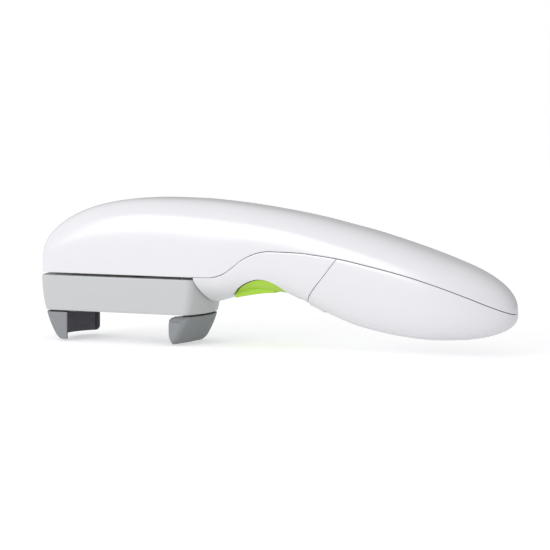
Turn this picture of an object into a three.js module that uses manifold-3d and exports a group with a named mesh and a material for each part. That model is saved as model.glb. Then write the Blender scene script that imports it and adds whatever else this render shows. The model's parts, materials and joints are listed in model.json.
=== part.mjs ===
// Cordless automatic bottle opener: a curved two-shell handle with a turntable head.
// A motor and worm drive turn the carrier under the head; two jaws slide in the carrier on a rack and
// pinion and grip the cap. Millimetres, +Z up, X from the nose to the tail. While it is being drawn the
// turntable axis is X = 0, Y = 0; the finished group is moved so that its origin is the bottom centre.
import * as THREE from 'three';
import { mergeVertices } from 'three/addons/utils/BufferGeometryUtils.js';
import Module from 'manifold-3d';

const wasm = await Module();
wasm.setup();

// ---------------------------------------------------------------- driving dimensions
const noseX = -45.15; // front end of the head
const tailX = 202.85; // end of the handle
const wall = 2.2; // thickness of the white shells
const seam = 0.3; // gap between two shells
const headHalfWidth = 18.1;
const apexX = 27; // highest point of the back
const carrierBottomZ = 15.25;
const carrierTopZ = 32.75;
const rimZ = 34.15; // lower rim of the head
const floorTopZ = 36.35; // inner face of the head's floor
const sweepRadius = 45.95; // clears the turning carrier
const rearGripX = 28.9; // inner edges of the open jaws, from the turntable axis
const frontGripX = 27.2;
const jawTopZ = 14.4;
const frontFootY = 16.2;
const frontRimZ = 2;
const padThickness = 2;
const fingerPadNotchZ = 19.4; // depth of the notch behind the cover's finger pad
const shaftRadius = 3;
const wormZ = 53.5; // height of the motor axis
const axleRadius = 1;
const motor = { front: 57.8, canEnd: 83.6, end: 88.2, radius: 10.2, flat: 7.7 };
const axleTopZ = 60.2;
const plateZ = [58.3, 60.3]; // gearbox plate
const runGap = 0.15; // radial play of a gear on its axle
const batteryRadius = 7.25;
const batteryLength = 50.5;
const bayTilt = 0.2; // slope of the battery bay, in radians
const triggerPivot = { x: 89.5, z: 31.8 };

// ---------------------------------------------------------------- materials
const finish = (color, roughness, metalness = 0) =>
  new THREE.MeshStandardMaterial({ color, roughness, metalness });
const glossWhite = finish(0xebebf0, 0.25);
const lightGrey = finish(0xcdcfd0, 0.4);
const midGrey = finish(0x8b8d92, 0.5);
const darkRubber = finish(0x3c3c41, 0.8);
const green = finish(0xabd649, 0.45);
const nylon = finish(0xe6e2d4, 0.5);
const blackPlastic = finish(0x26272a, 0.5);
const steel = finish(0xb9bbbe, 0.3, 1);
const brass = finish(0xc9a458, 0.35, 1);
const boardGreen = finish(0x2f6b45, 0.6);
const redWire = finish(0xb8261f, 0.5);
const cellWrap = finish(0x3d4b57, 0.4, 0.3);

// ---------------------------------------------------------------- solids and meshes
// A closed three.js geometry as a manifold-3d solid, for cutting and joining.
function solid(geometry) {
  const source = geometry.index ? geometry.toNonIndexed() : geometry;
  const bare = new THREE.BufferGeometry();
  bare.setAttribute('position', source.getAttribute('position'));
  const merged = mergeVertices(bare, 1e-4);
  return new wasm.Manifold(new wasm.Mesh({
    numProp: 3,
    vertProperties: merged.attributes.position.array,
    triVerts: new Uint32Array(merged.index.array),
  }));
}

function geometryOf(body) {
  const mesh = body.getMesh();
  const stride = mesh.numProp;
  const position = new Float32Array(mesh.numVert * 3);
  for (let i = 0; i < mesh.numVert; i++) {
    position.set(mesh.vertProperties.subarray(i * stride, i * stride + 3), i * 3);
  }
  const geometry = new THREE.BufferGeometry();
  geometry.setAttribute('position', new THREE.BufferAttribute(position, 3));
  geometry.setIndex(new THREE.BufferAttribute(mesh.triVerts, 1));
  geometry.computeVertexNormals();
  return geometry;
}

const opener = new THREE.Group();
let shelf = opener; // the group that new parts go into

function part(name, body, material) {
  const geometry = body instanceof THREE.BufferGeometry ? body : geometryOf(body);
  const mesh = new THREE.Mesh(geometry, material.clone());
  mesh.name = name;
  shelf.add(mesh);
  return mesh;
}

const join = (first, ...others) => others.reduce((sum, other) => sum.add(other), first);
const cut = (first, ...others) => others.reduce((rest, other) => rest.subtract(other), first);

function block(x0, x1, y0, y1, z0, z1) {
  const box = new THREE.BoxGeometry(x1 - x0, y1 - y0, z1 - z0);
  return solid(box.translate((x0 + x1) / 2, (y0 + y1) / 2, (z0 + z1) / 2));
}

function rodZ(radius, z0, z1, x = 0, y = 0, sides = 20) {
  const rod = new THREE.CylinderGeometry(radius, radius, z1 - z0, sides);
  return solid(rod.rotateX(Math.PI / 2).translate(x, y, (z0 + z1) / 2));
}

function rodX(radius, x0, x1, y, z, sides = 20) {
  const rod = new THREE.CylinderGeometry(radius, radius, x1 - x0, sides);
  return solid(rod.rotateZ(Math.PI / 2).translate((x0 + x1) / 2, y, z));
}

function rodY(radius, y0, y1, x, z, sides = 16) {
  const rod = new THREE.CylinderGeometry(radius, radius, y1 - y0, sides);
  return solid(rod.translate(x, (y0 + y1) / 2, z));
}

// An outline of [x, z] points, extruded across the part from y0 to y1.
function prismY(points, y0, y1) {
  const shape = new THREE.Shape(points.map(([x, z]) => new THREE.Vector2(x, z)));
  const prism = new THREE.ExtrudeGeometry(shape, { depth: y1 - y0, bevelEnabled: false });
  return solid(prism.rotateX(Math.PI / 2).translate(0, y1, 0));
}

// An outline of [y, z] points, extruded along the handle from x0 to x1.
function prismX(points, x0, x1) {
  const shape = new THREE.Shape(points.map(([y, z]) => new THREE.Vector2(y, z)));
  const prism = new THREE.ExtrudeGeometry(shape, { depth: x1 - x0, bevelEnabled: false });
  return solid(prism.rotateX(Math.PI / 2).rotateZ(Math.PI / 2).translate(x0, 0, 0));
}

// An outline of [x, y] points, extruded upwards from z0 to z1.
function prismZ(points, z0, z1) {
  const shape = new THREE.Shape(points.map(([x, y]) => new THREE.Vector2(x, y)));
  const prism = new THREE.ExtrudeGeometry(shape, { depth: z1 - z0, bevelEnabled: false });
  return solid(prism.translate(0, 0, z0));
}

// A profile of [radius, z] points, turned about the Z axis; it starts and ends on the axis, going up.
function turned(profile, sides = 24) {
  const points = profile.map(([r, z]) => new THREE.Vector2(r, z));
  return solid(new THREE.LatheGeometry(points, sides).rotateX(Math.PI / 2));
}

// A round wire along points, with flat ends.
function wire(points, radius, sides, steps) {
  const path = new THREE.CatmullRomCurve3(points.map((p) => new THREE.Vector3(...p)));
  const section = new THREE.Shape();
  for (let i = 0; i < sides; i++) {
    const angle = (i / sides) * 2 * Math.PI;
    const point = [radius * Math.cos(angle), radius * Math.sin(angle)];
    if (i === 0) section.moveTo(...point);
    else section.lineTo(...point);
  }
  section.closePath();
  return solid(new THREE.ExtrudeGeometry(section, { steps, extrudePath: path }));
}

// ---------------------------------------------------------------- smooth curves through points
// A monotone cubic through [x, value] points: no overshoot between them.
function curve(points) {
  const slopes = points.slice(1).map(([x, v], i) => (v - points[i][1]) / (x - points[i][0]));
  const tangents = points.map((_, i) => {
    const before = slopes[i - 1];
    const after = slopes[i];
    if (before === undefined) return after;
    if (after === undefined) return before;
    return before * after <= 0 ? 0 : (2 * before * after) / (before + after);
  });
  return (x) => {
    const last = points.length - 1;
    if (x <= points[0][0]) return points[0][1];
    if (x >= points[last][0]) return points[last][1];
    const i = points.findIndex((p) => p[0] > x) - 1;
    const span = points[i + 1][0] - points[i][0];
    const t = (x - points[i][0]) / span;
    const rise = 3 * t * t - 2 * t * t * t;
    return points[i][1] * (1 - rise) + points[i + 1][1] * rise
      + tangents[i] * span * t * (1 - t) * (1 - t)
      - tangents[i + 1] * span * t * t * (1 - t);
  };
}

// 1 up to start, then down to 0 at end as a superellipse does.
function endRound(x, start, end, power) {
  const t = THREE.MathUtils.clamp((x - start) / (end - start), 0, 1);
  return (1 - t ** power) ** (1 / power);
}

// ---------------------------------------------------------------- the handle's outer form
// The height of the widest line and of the back, the depth below the widest line and the half width, along X.
const widestZ = curve([[40, 34.1], [52, 34.6], [62, 37.2], [74, 40.2], [88, 40.4], [104, 38.6],
  [124, 35.2], [144, 31.6], [164, 28], [184, 24.4], [tailX, 20.9]]);
const backZ = curve([[apexX, 72], [40, 71.8], [53, 71], [66, 69.8], [79, 68.2], [92, 66.3], [104.5, 64.1],
  [117, 61.4], [130, 58.5], [142, 55.3], [154, 51.8], [166.5, 47.8], [178.7, 43.5], [190, 39.7],
  [tailX, 35.9]]);
const rise = (x) => backZ(x) - widestZ(x);
const drop = curve([[40, 13], [47, 13.1], [54.6, 11.9], [62, 11.8], [75, 13.4], [88.6, 14.6],
  [98.6, 17.2], [113.8, 21.4], [126.4, 23.2], [138.8, 23.4], [151, 22.7], [163.3, 21], [175.5, 18.2],
  [187.5, 15.2], [tailX, 11.5]]);
const halfWidth = curve([[40, headHalfWidth], [62, 17.7], [84, 17.4], [104, 17.8], [126, 18.6],
  [150, 18.9], [172, 18.4], [tailX, 15.5]]);
const sideSquareness = curve([[20, 4.2], [70, 3.6], [120, 3.1], [180, 2.8]]);
const bellySquareness = curve([[40, 2.25], [70, 2.35], [110, 2.3], [180, 2.3]]);
const seamZ = curve([[42.8, rimZ], [51, rimZ + 0.1], [57.2, 35.8], [62.8, 39.3], [67, 42.6],
  [72, 45.4], [77, 47.2], [82.4, 48.0], [97.5, 47.8], [107, 47.0], [119, 45.6], [134, 42.8],
  [149.6, 39.5], [161, 36.6], [172.5, 33.1], [184, 28.9], [194, 24.7], [tailX, 20.9]]);
const coverSeamX = curve([[12, 94.5], [21, 98], [24.8, 100.8], [30.8, 105.8], [36, 110.4], [41, 114.4],
  [45.4, 118], [50, 121.4]]); // X of the cover's front edge, by height

// One cross-section of the form at x, inset on every side; y and z of each ring point.
function sectionRing(x, inset, ringPoints) {
  const nose = noseX + inset;
  const tail = tailX - inset;
  const tailEnd = endRound(x, 175, tail, 2.5);
  const up = (rise(x) - inset) * endRound(-x, -apexX, -nose, 2.5) * tailEnd;
  const down = (drop(x) - inset) * endRound(-x, 36, -nose, 2.4) * tailEnd;
  const half = (halfWidth(x) - inset) * endRound(-x, 37, -nose, 2.4) * endRound(x, 160, tail, 2.3);
  const ring = [];
  for (let i = 0; i < ringPoints; i++) {
    const angle = (i / ringPoints) * 2 * Math.PI;
    const above = Math.sin(angle) >= 0;
    const power = 2 / (above ? sideSquareness(x) : bellySquareness(x));
    const across = Math.sign(Math.cos(angle)) * Math.abs(Math.cos(angle)) ** power;
    const along = Math.abs(Math.sin(angle)) ** power;
    ring.push([half * across, widestZ(x) + (above ? up : -down) * along]);
  }
  return ring;
}

// A closed surface through rings of equal length, with a point at each end.
function lofted(rings, startTip, endTip) {
  const count = rings[0].length;
  const position = [startTip, ...rings.flat(), endTip].flat();
  const index = [];
  const at = (ring, i) => 1 + ring * count + (i % count);
  const lastTip = rings.length * count + 1;
  for (let i = 0; i < count; i++) {
    index.push(0, at(0, i + 1), at(0, i));
    index.push(lastTip, at(rings.length - 1, i), at(rings.length - 1, i + 1));
    for (let r = 0; r + 1 < rings.length; r++) {
      index.push(at(r, i), at(r + 1, i + 1), at(r + 1, i));
      index.push(at(r, i), at(r, i + 1), at(r + 1, i + 1));
    }
  }
  const geometry = new THREE.BufferGeometry();
  geometry.setAttribute('position', new THREE.BufferAttribute(new Float32Array(position), 3));
  geometry.setIndex(index);
  return solid(geometry);
}

// The whole handle as one solid, inset on every side. Stations crowd towards the round ends.
function handleForm(inset, ringPoints = 16) {
  const nose = noseX + inset;
  const tail = tailX - inset;
  const quarter = (i, steps) => 1 - Math.cos(((i / steps) * Math.PI) / 2);
  const stations = [];
  for (let i = 1; i <= 7; i++) stations.push(nose + (6 - nose) * quarter(i, 7));
  for (let x = 24; x <= 168; x += x > 42 && x < 96 ? 8 : 12) stations.push(x);
  for (let i = 6; i >= 1; i--) stations.push(tail - (tail - 176) * quarter(i, 7));
  const rings = stations.map((x) => sectionRing(x, inset, ringPoints).map(([y, z]) => [x, y, z]));
  return lofted(rings, [nose, 0, widestZ(nose)], [tail, 0, widestZ(tail)]);
}

const outer = handleForm(0, 24);
const inner = handleForm(wall);
const middle = handleForm(wall / 2); // half way through the wall

// Points of the seam line from x0 to x1, raised by offset.
function seamPoints(x0, x1, offset, count = 26) {
  const points = [];
  for (let i = 0; i <= count; i++) {
    const x = x0 + ((x1 - x0) * i) / count;
    points.push([x, seamZ(x) + offset]);
  }
  return points;
}

// Points of the cover's front edge from z0 to z1, moved back by offset.
function coverEdgePoints(z0, z1, offset, count = 8) {
  const points = [];
  for (let i = 0; i <= count; i++) {
    const z = z0 + ((z1 - z0) * i) / count;
    points.push([coverSeamX(z) + offset, z]);
  }
  return points;
}

const halfGap = seam / 2;
const deep = 30; // half width of the cutting prisms, wider than the handle
const aboveSeam = prismY([[noseX - 2, rimZ], ...seamPoints(42.8, tailX + 2, halfGap), [tailX + 2, 90],
  [noseX - 2, 90]], -deep, deep);
const belowSeam = prismY([[42.8, 0], [tailX + 2, 0], ...seamPoints(42.8, tailX + 2, -halfGap).reverse()],
  -deep, deep);
const behindCoverEdge = prismY([...coverEdgePoints(-2, 55, halfGap), [tailX + 2, 55], [tailX + 2, -2]],
  -deep, deep);
const aheadOfCoverEdge = prismY([[30, -2], ...coverEdgePoints(-2, 55, -halfGap), [30, 55]], -deep, deep);

// ---------------------------------------------------------------- screws
const caseScrews = [{ x: -35, y: 8, z: 34.5 }, { x: -35, y: -8, z: 34.5 }, { x: 96, y: 7, z: 26.6 },
  { x: 96, y: -7, z: 26.6 }];

// A pan-head screw standing on z with its shank going up.
function screw(headRadius, headHeight, shankRadius, length, x, y, z) {
  const body = turned([[0, z], [headRadius * 0.8, z], [headRadius, z + headHeight * 0.4],
    [headRadius, z + headHeight], [shankRadius, z + headHeight], [shankRadius, z + length],
    [0, z + length + shankRadius]], 8);
  return body.translate([x, y, 0]);
}

// ---------------------------------------------------------------- shells
function topShell() {
  let shell = cut(outer, inner).intersect(aboveSeam);
  for (const { x, y, z } of caseScrews) {
    const start = z + 6.5;
    const boss = cut(rodZ(3, start, 75, x, y, 10), rodZ(1.5, start - 1, start + 9, x, y, 8));
    shell = join(shell, boss.intersect(middle));
  }
  for (const x of [61, 80]) { // ribs that hold the motor down
    const rib = block(x - 0.8, x + 0.8, -20, 20, wormZ + 2, 75).intersect(middle);
    shell = join(shell, cut(rib, rodX(motor.radius + 0.4, x - 2, x + 2, 0, wormZ, 20)));
  }
  return shell;
}

// The arch over the trigger, enlarged by grow, and closed well below the handle.
const archOutline = (grow) => {
  const start = 59.4 - grow;
  const end = 89.2 + grow;
  const arch = curve([[start, 24.4], [62.6, 27.6 + grow], [66.7, 30.6 + grow], [71, 32.9 + grow],
    [75.8, 34.1 + grow], [79.4, 33.8 + grow], [82.8, 32.4 + grow], [85.6, 30.2 + grow], [end, 26.2]]);
  const points = [];
  for (let i = 0; i <= 14; i++) {
    const x = start + ((end - start) * i) / 14;
    points.push([x, arch(x)]);
  }
  return [...points, [end, 10], [start, 10]];
};

function lowerShell() {
  const sweep = rodZ(sweepRadius, -1, rimZ, 0, 0, 60);
  const hollow = cut(inner, rodZ(sweepRadius + wall, 0, floorTopZ, 0, 0, 60));
  let shell = cut(outer, hollow).intersect(belowSeam).intersect(aheadOfCoverEdge);
  shell = cut(shell, sweep);
  const floorForm = handleForm(wall + 0.25);
  shell = join(shell, floorForm.intersect(block(noseX, 58.5, -deep, deep, rimZ, floorTopZ)));
  shell = join(shell, cut(floorForm, sweep).intersect(block(45, 51, -deep, deep, 31, rimZ + 1)));
  for (const { x, y, z } of caseScrews) {
    const base = Math.min(rimZ, z);
    shell = join(shell, rodZ(3.6, base, z + 6.2, x, y, 10).intersect(middle));
    shell = cut(shell, rodZ(2.9, 0, z + 1.9, x, y, 10), rodZ(1.5, 0, 60, x, y, 8));
  }
  for (const y of [-10.4, 10.4]) { // ears for the trigger's pin
    const ear = block(87, 92.6, y - 1.2, y + 1.2, 24, 35).intersect(middle);
    shell = join(shell, ear);
  }
  const skin = handleForm(0.75, 24); // the wall is thinned round the arch, so the trigger can rise
  shell = cut(shell, skin.intersect(prismY(archOutline(2.6), -deep, deep)).intersect(
    block(50, 86.4, -deep, deep, 0, 60)));
  shell = cut(shell, prismY(archOutline(0), -deep, deep));
  shell = cut(shell, rodY(1.25, -13.4, 13.4, triggerPivot.x, triggerPivot.z, 10));
  return cut(shell, rodZ(6.3, 33, 40, 0, 0, 20)); // seat of the output bush
}

function batteryCover() {
  const shell = cut(outer, inner).intersect(belowSeam).intersect(behindCoverEdge);
  const fingerPad = cut(outer.translate([0, 0, -0.8]), middle).intersect(
    block(98, 106.6, -6, 6, 8, 30)).intersect(behindCoverEdge);
  return cut(join(shell, fingerPad), block(106.6, 107.8, -5, 5, 10, fingerPadNotchZ));
}

function trigger() {
  const cover = handleForm(0.95, 24);
  const fingerLine = curve([[57, 23.6], [64, 25.4], [70, 26.4], [77, 26.9], [89, 26.8]]);
  const below = [];
  for (let x = 57; x <= 89; x += 4) below.push([x, fingerLine(x)]);
  const arch = prismY(archOutline(-0.35), -deep, deep);
  const fingerPad = prismY([...below, [89, 28], [75, 29], [57, 27]], -8.5, 8.5);
  const body = join(cover.intersect(arch), fingerPad.intersect(prismY(archOutline(-3), -deep, deep)));
  const hollow = handleForm(2.9).intersect(block(60.4, 84, -deep, deep, 28.6, 60));
  const post = block(67.6, 70.4, -1.4, 1.4, 28, 31.8);
  const lug = block(83, 91.6, -6.6, 6.6, 29.6, 33.8);
  const made = join(cut(body, hollow), post, lug);
  return cut(made, rodY(1.4, -12, 12, triggerPivot.x, triggerPivot.z, 10));
}

part('top_shell', topShell(), glossWhite);
part('lower_shell', lowerShell(), glossWhite);
part('battery_cover', batteryCover(), glossWhite);
part('trigger', trigger(), green);
part('trigger_pin', rodY(1.1, -11.4, 11.4, triggerPivot.x, triggerPivot.z, 10), steel);
caseScrews.forEach(({ x, y, z }, i) => {
  part(`case_screw_${i + 1}`, screw(2.6, 1.7, 1.25, 13, x, y, z), steel);
});

// ---------------------------------------------------------------- turntable carrier and jaws
// Radius of the bowl-shaped ends of the carrier and jaws at height z.
const bowlRadius = (z) => 45.14 * (1 - ((33 - z) / 50.2) ** 2.2) ** (1 / 2.2);

// The bowl between two heights, inset, cut to a slab of the given half width.
function bowlSlab(z0, z1, inset, halfY) {
  const profile = [[0, z0]];
  for (let i = 0; i <= 3; i++) {
    const z = z0 + ((z1 - z0) * i) / 3;
    profile.push([bowlRadius(z) - inset, z]);
  }
  profile.push([0, z1]);
  return turned(profile, 60).intersect(block(-50, 50, -halfY, halfY, z0 - 1, z1 + 1));
}

const carrierFloorTop = carrierBottomZ + 2;
const carrierRoof = carrierTopZ - 2.2;
const carrierScrews = [{ x: 36, y: 12.6 }, { x: 36, y: -12.6 }, { x: -36, y: 12.6 }, { x: -36, y: -12.6 }];

function carrierHousing() {
  const cavity = bowlSlab(carrierBottomZ - 1, carrierRoof, wall, headHalfWidth - wall);
  let body = cut(bowlSlab(carrierBottomZ, carrierTopZ, 0, headHalfWidth), cavity);
  body = join(body, rodZ(6.4, carrierRoof - 1.8, carrierRoof + 1));
  for (const { x, y } of carrierScrews) {
    body = join(body, rodZ(2.6, carrierFloorTop + 0.1, carrierRoof + 1, x, y, 12));
    body = cut(body, rodZ(1.3, carrierFloorTop - 1, carrierRoof - 3, x, y, 10));
  }
  return cut(body, rodZ(shaftRadius + 0.1, 10, 40, 0, 0, 20));
}

function carrierFloor() {
  let plate = bowlSlab(carrierBottomZ, carrierFloorTop, wall + 0.25, headHalfWidth - wall - 0.25);
  plate = cut(plate, block(12.6, 38.8, -4.6, 4.6, 10, 20), block(-38.8, -12.6, -4.6, 4.6, 10, 20));
  for (const { x, y } of carrierScrews) {
    plate = cut(plate, rodZ(1.4, 10, 20, x, y, 10), rodZ(2.5, 10, carrierBottomZ + 1.2, x, y, 12));
  }
  return plate;
}

// The concave grip arc in plan, deepest on the centre line.
const gripArcRadius = 26;
const gripArcX = 33.75 - gripArcRadius;
const gripHalfWidth = 16.6;
const recessHalfWidth = 16.9;
const tipRound = { x: 3, z: 6 }; // rounded lower corner of one cheek
const topBevel = 2.2; // bevel along the same cheek's top edge
const gripSides = 48;

function jaw(gripX) {
  let body = bowlSlab(0, jawTopZ, 0, headHalfWidth).intersect(block(gripX, 50, -20, 20, -1, 30));
  const recess = block(gripX - 1, 40, -recessHalfWidth, recessHalfWidth, -1, 30);
  body = cut(body, rodZ(gripArcRadius + padThickness, -1, 30, gripArcX, 0, gripSides).intersect(recess));
  const tip = gripX + tipRound.x;
  const round = [[gripX - 1, -1], [tip, -1]];
  for (let i = 0; i <= 5; i++) {
    const angle = (i / 5) * (Math.PI / 2);
    round.push([tip - tipRound.x * Math.sin(angle), tipRound.z * (1 - Math.cos(angle))]);
  }
  round.push([gripX - 1, tipRound.z]);
  body = cut(body, prismY(round, -20, -recessHalfWidth));
  const bevel = [[-headHalfWidth - 1, jawTopZ + 1], [-headHalfWidth - 1, jawTopZ - topBevel - 1],
    [-headHalfWidth + topBevel + 1, jawTopZ + 1]];
  body = cut(body, prismX(bevel, 20, 50));
  const stem = block(30, 38.4, -4.3, 4.3, jawTopZ, carrierFloorTop + 1);
  const foot = block(36.2, 38.4, -4.3, 4.3, jawTopZ - 1, jawTopZ + 1);
  const slider = block(29, 38.4, -5.6, 9.4, carrierFloorTop + 0.2, 28.6);
  return join(body, foot, stem, slider, rackArm());
}

const rackModule = 1;
const pinionTeeth = 14;
const pinionPitchRadius = (pinionTeeth * rackModule) / 2;

// The jaw's rack: teeth point to -Y, with a gap on x = 0 while the jaw is open.
function rackArm() {
  const pitch = Math.PI * rackModule;
  const rootY = pinionPitchRadius + 1.25 * rackModule;
  const tipY = pinionPitchRadius - 0.9 * rackModule;
  const outline = [[33, 13], [-6, 13], [-6, rootY]];
  for (let i = -1; i <= 6; i++) {
    const centre = (i + 0.5) * pitch;
    outline.push([centre - 1.12, rootY], [centre - 0.38, tipY]);
    outline.push([centre + 0.38, tipY], [centre + 1.12, rootY]);
  }
  outline.push([33, rootY]);
  return prismZ(outline.reverse(), 20, 28);
}

function jawPad(gripX) {
  const lining = cut(rodZ(gripArcRadius + padThickness - 0.1, 1.5, jawTopZ - 0.9, gripArcX, 0, gripSides),
    rodZ(gripArcRadius, 0, 20, gripArcX, 0, gripSides));
  return lining.intersect(block(gripX + 0.1, 50, -gripHalfWidth, gripHalfWidth, 0, 20))
    .intersect(bowlSlab(0, jawTopZ, 1, headHalfWidth));
}

// A gear's outline with a tooth centred on angle phase; flanks are chords of the involute.
function gearOutline(teeth, module, phase) {
  const pressure = THREE.MathUtils.degToRad(20);
  const pitchRadius = (teeth * module) / 2;
  const baseRadius = pitchRadius * Math.cos(pressure);
  const involute = (angle) => Math.tan(angle) - angle;
  const play = 0.09 * module;
  const halfAngle = (r) => {
    const reach = Math.acos(Math.min(1, baseRadius / Math.max(r, baseRadius)));
    return ((Math.PI * module) / 4 - play) / pitchRadius + involute(pressure) - involute(reach);
  };
  const root = pitchRadius - 1.25 * module;
  const tip = pitchRadius + 0.95 * module;
  const slope = (halfAngle(pitchRadius) - halfAngle(tip)) / (tip - pitchRadius);
  const flank = [[root, halfAngle(pitchRadius) + slope * (pitchRadius - root)], [tip, halfAngle(tip)]];
  const outline = [];
  for (let i = 0; i < teeth; i++) {
    const centre = phase + (i * 2 * Math.PI) / teeth;
    for (const [r, half] of flank) outline.push([r * Math.cos(centre - half), r * Math.sin(centre - half)]);
    for (const [r, half] of [...flank].reverse()) {
      outline.push([r * Math.cos(centre + half), r * Math.sin(centre + half)]);
    }
  }
  return outline;
}

// A gear between z0 and z1; twist turns its top face against its bottom face.
function gear(teeth, module, phase, z0, z1, twist = 0) {
  const outline = gearOutline(teeth, module, phase);
  const shape = new THREE.Shape(outline.map(([x, y]) => new THREE.Vector2(x, y)));
  const geometry = new THREE.ExtrudeGeometry(shape, { depth: z1 - z0, bevelEnabled: false });
  const position = geometry.getAttribute('position');
  for (let i = 0; i < position.count; i++) {
    const turn = twist * (position.getZ(i) / (z1 - z0) - 0.5);
    const x = position.getX(i);
    const y = position.getY(i);
    position.setX(i, x * Math.cos(turn) - y * Math.sin(turn));
    position.setY(i, x * Math.sin(turn) + y * Math.cos(turn));
  }
  return solid(geometry.translate(0, 0, z0));
}

// Phase that meshes gear b with gear a, b lying in direction angle from a.
function meshPhase(teethA, phaseA, teethB, angle) {
  const pitchA = (2 * Math.PI) / teethA;
  const pitchB = (2 * Math.PI) / teethB;
  return angle + Math.PI + pitchB * ((angle - phaseA) / pitchA - 0.5);
}

function jawPinion() {
  const wheel = gear(pinionTeeth, rackModule, Math.PI / 2, 20.4, 27.6);
  return cut(wheel, rodZ(shaftRadius + 0.2, 10, 40, 0, 0, 16));
}

part('carrier_housing', carrierHousing(), lightGrey);
part('carrier_floor', carrierFloor(), lightGrey);
carrierScrews.forEach(({ x, y }, i) => {
  part(`carrier_screw_${i + 1}`, screw(2.3, 1.1, 1.1, 9, x, y, carrierBottomZ + 0.1), steel);
});
part('jaw_pinion', jawPinion(), nylon);
part('rear_jaw', jaw(rearGripX), midGrey);
part('rear_jaw_pad', jawPad(rearGripX), darkRubber);
// The front jaw's rim is cut back, all but the foot under its near cheek.
const frontJaw = cut(jaw(frontGripX).rotate([0, 0, 180]), block(-50, -20, -frontFootY, 20, -1, frontRimZ));
part('front_jaw', frontJaw, midGrey);
const frontPad = jawPad(frontGripX).rotate([0, 0, 180]);
part('front_jaw_pad', cut(frontPad, block(-50, -20, -20, 20, 0, frontRimZ + 0.4)), darkRubber);

// ---------------------------------------------------------------- gear train
const outputGear = { teeth: 30, module: 0.9, z: [37.2, 42.0], phase: 0 };
const finalPinion = { teeth: 12, module: 0.9, z: [37.2, 42.4] };
const thirdGear = { teeth: 36, module: 0.7, z: [42.4, 45.8] };
const secondPinion = { teeth: 10, module: 0.7, z: [42.2, 46.4] };
const secondGear = { teeth: 36, module: 0.6, z: [46.4, 49.2] };
const firstPinion = { teeth: 10, module: 0.6, z: [46.2, 50.6] };
const wormWheel = { teeth: 18, module: 0.6, z: [50.6, 56.4] };
const wormPitchRadius = 3;
const wormLead = Math.PI * wormWheel.module;
const distance = (a, b) => (a.teeth * a.module + b.teeth * b.module) / 2;

const thirdAngle = -0.11;
const thirdAxle = {
  x: distance(outputGear, finalPinion) * Math.cos(thirdAngle),
  y: distance(outputGear, finalPinion) * Math.sin(thirdAngle),
};
const secondAngle = 0.35;
const secondAxle = {
  x: thirdAxle.x + distance(thirdGear, secondPinion) * Math.cos(secondAngle),
  y: thirdAxle.y + distance(thirdGear, secondPinion) * Math.sin(secondAngle),
};
const wheelY = wormPitchRadius + (wormWheel.teeth * wormWheel.module) / 2;
const firstAngle = Math.asin((wheelY - secondAxle.y) / distance(secondGear, firstPinion));
const firstAxle = {
  x: secondAxle.x + distance(secondGear, firstPinion) * Math.cos(firstAngle),
  y: wheelY,
};
finalPinion.phase = meshPhase(outputGear.teeth, outputGear.phase, finalPinion.teeth, thirdAngle);
thirdGear.phase = 0;
secondPinion.phase = meshPhase(thirdGear.teeth, thirdGear.phase, secondPinion.teeth, secondAngle);
secondGear.phase = 0;
firstPinion.phase = meshPhase(secondGear.teeth, secondGear.phase, firstPinion.teeth, firstAngle);
wormWheel.phase = -Math.PI / 2; // a tooth points at the worm

const gearSolid = ({ teeth, module, phase, z }, twist) => gear(teeth, module, phase, ...z, twist);

// Two gears moulded together on one axle.
function compoundGear(lower, upper, axle, twist = 0) {
  const both = join(gearSolid(lower), gearSolid(upper, twist));
  return cut(both, rodZ(axleRadius + runGap, 30, 65, 0, 0, 12)).translate([axle.x, axle.y, 0]);
}

function outputWheel() {
  let wheel = join(gearSolid(outputGear), rodZ(5, 41, 44.2, 0, 0, 16));
  for (let i = 0; i < 5; i++) { // lightening holes
    const angle = (i * 2 * Math.PI) / 5;
    wheel = cut(wheel, rodZ(2.4, 30, 50, 8.6 * Math.cos(angle), 8.6 * Math.sin(angle), 8));
  }
  return cut(wheel, rodZ(shaftRadius + 0.1, 30, 60, 0, 0, 16));
}

// The worm: a single thread round a core, along the motor axis.
function worm() {
  const turns = 5;
  const perTurn = 10;
  const core = rodX(wormPitchRadius - 1.25 * wormWheel.module, -6, 6, 0, 0, perTurn);
  const half = { root: 0.62, tip: 0.2 };
  const inside = wormPitchRadius - 1.5 * wormWheel.module;
  const outside = wormPitchRadius + 0.9 * wormWheel.module;
  const rings = [];
  for (let i = 0; i <= turns * perTurn; i++) {
    const turn = i / perTurn - turns / 2;
    const angle = turn * 2 * Math.PI;
    const centre = (turn + 0.5) * wormLead;
    const corner = (offset, r) => [centre + offset, r * Math.cos(angle), r * Math.sin(angle)];
    rings.push([corner(-half.root, inside), corner(half.root, inside), corner(half.tip, outside),
      corner(-half.tip, outside)]);
  }
  const centre = (ring) => [0, 1, 2].map((k) => ring.reduce((sum, p) => sum + p[k], 0) / ring.length);
  const thread = lofted(rings, centre(rings[0]), centre(rings[rings.length - 1]));
  return cut(join(core, thread), rodX(1.05, -9, 9, 0, 0, 8)).translate([firstAxle.x, 0, wormZ]);
}

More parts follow.
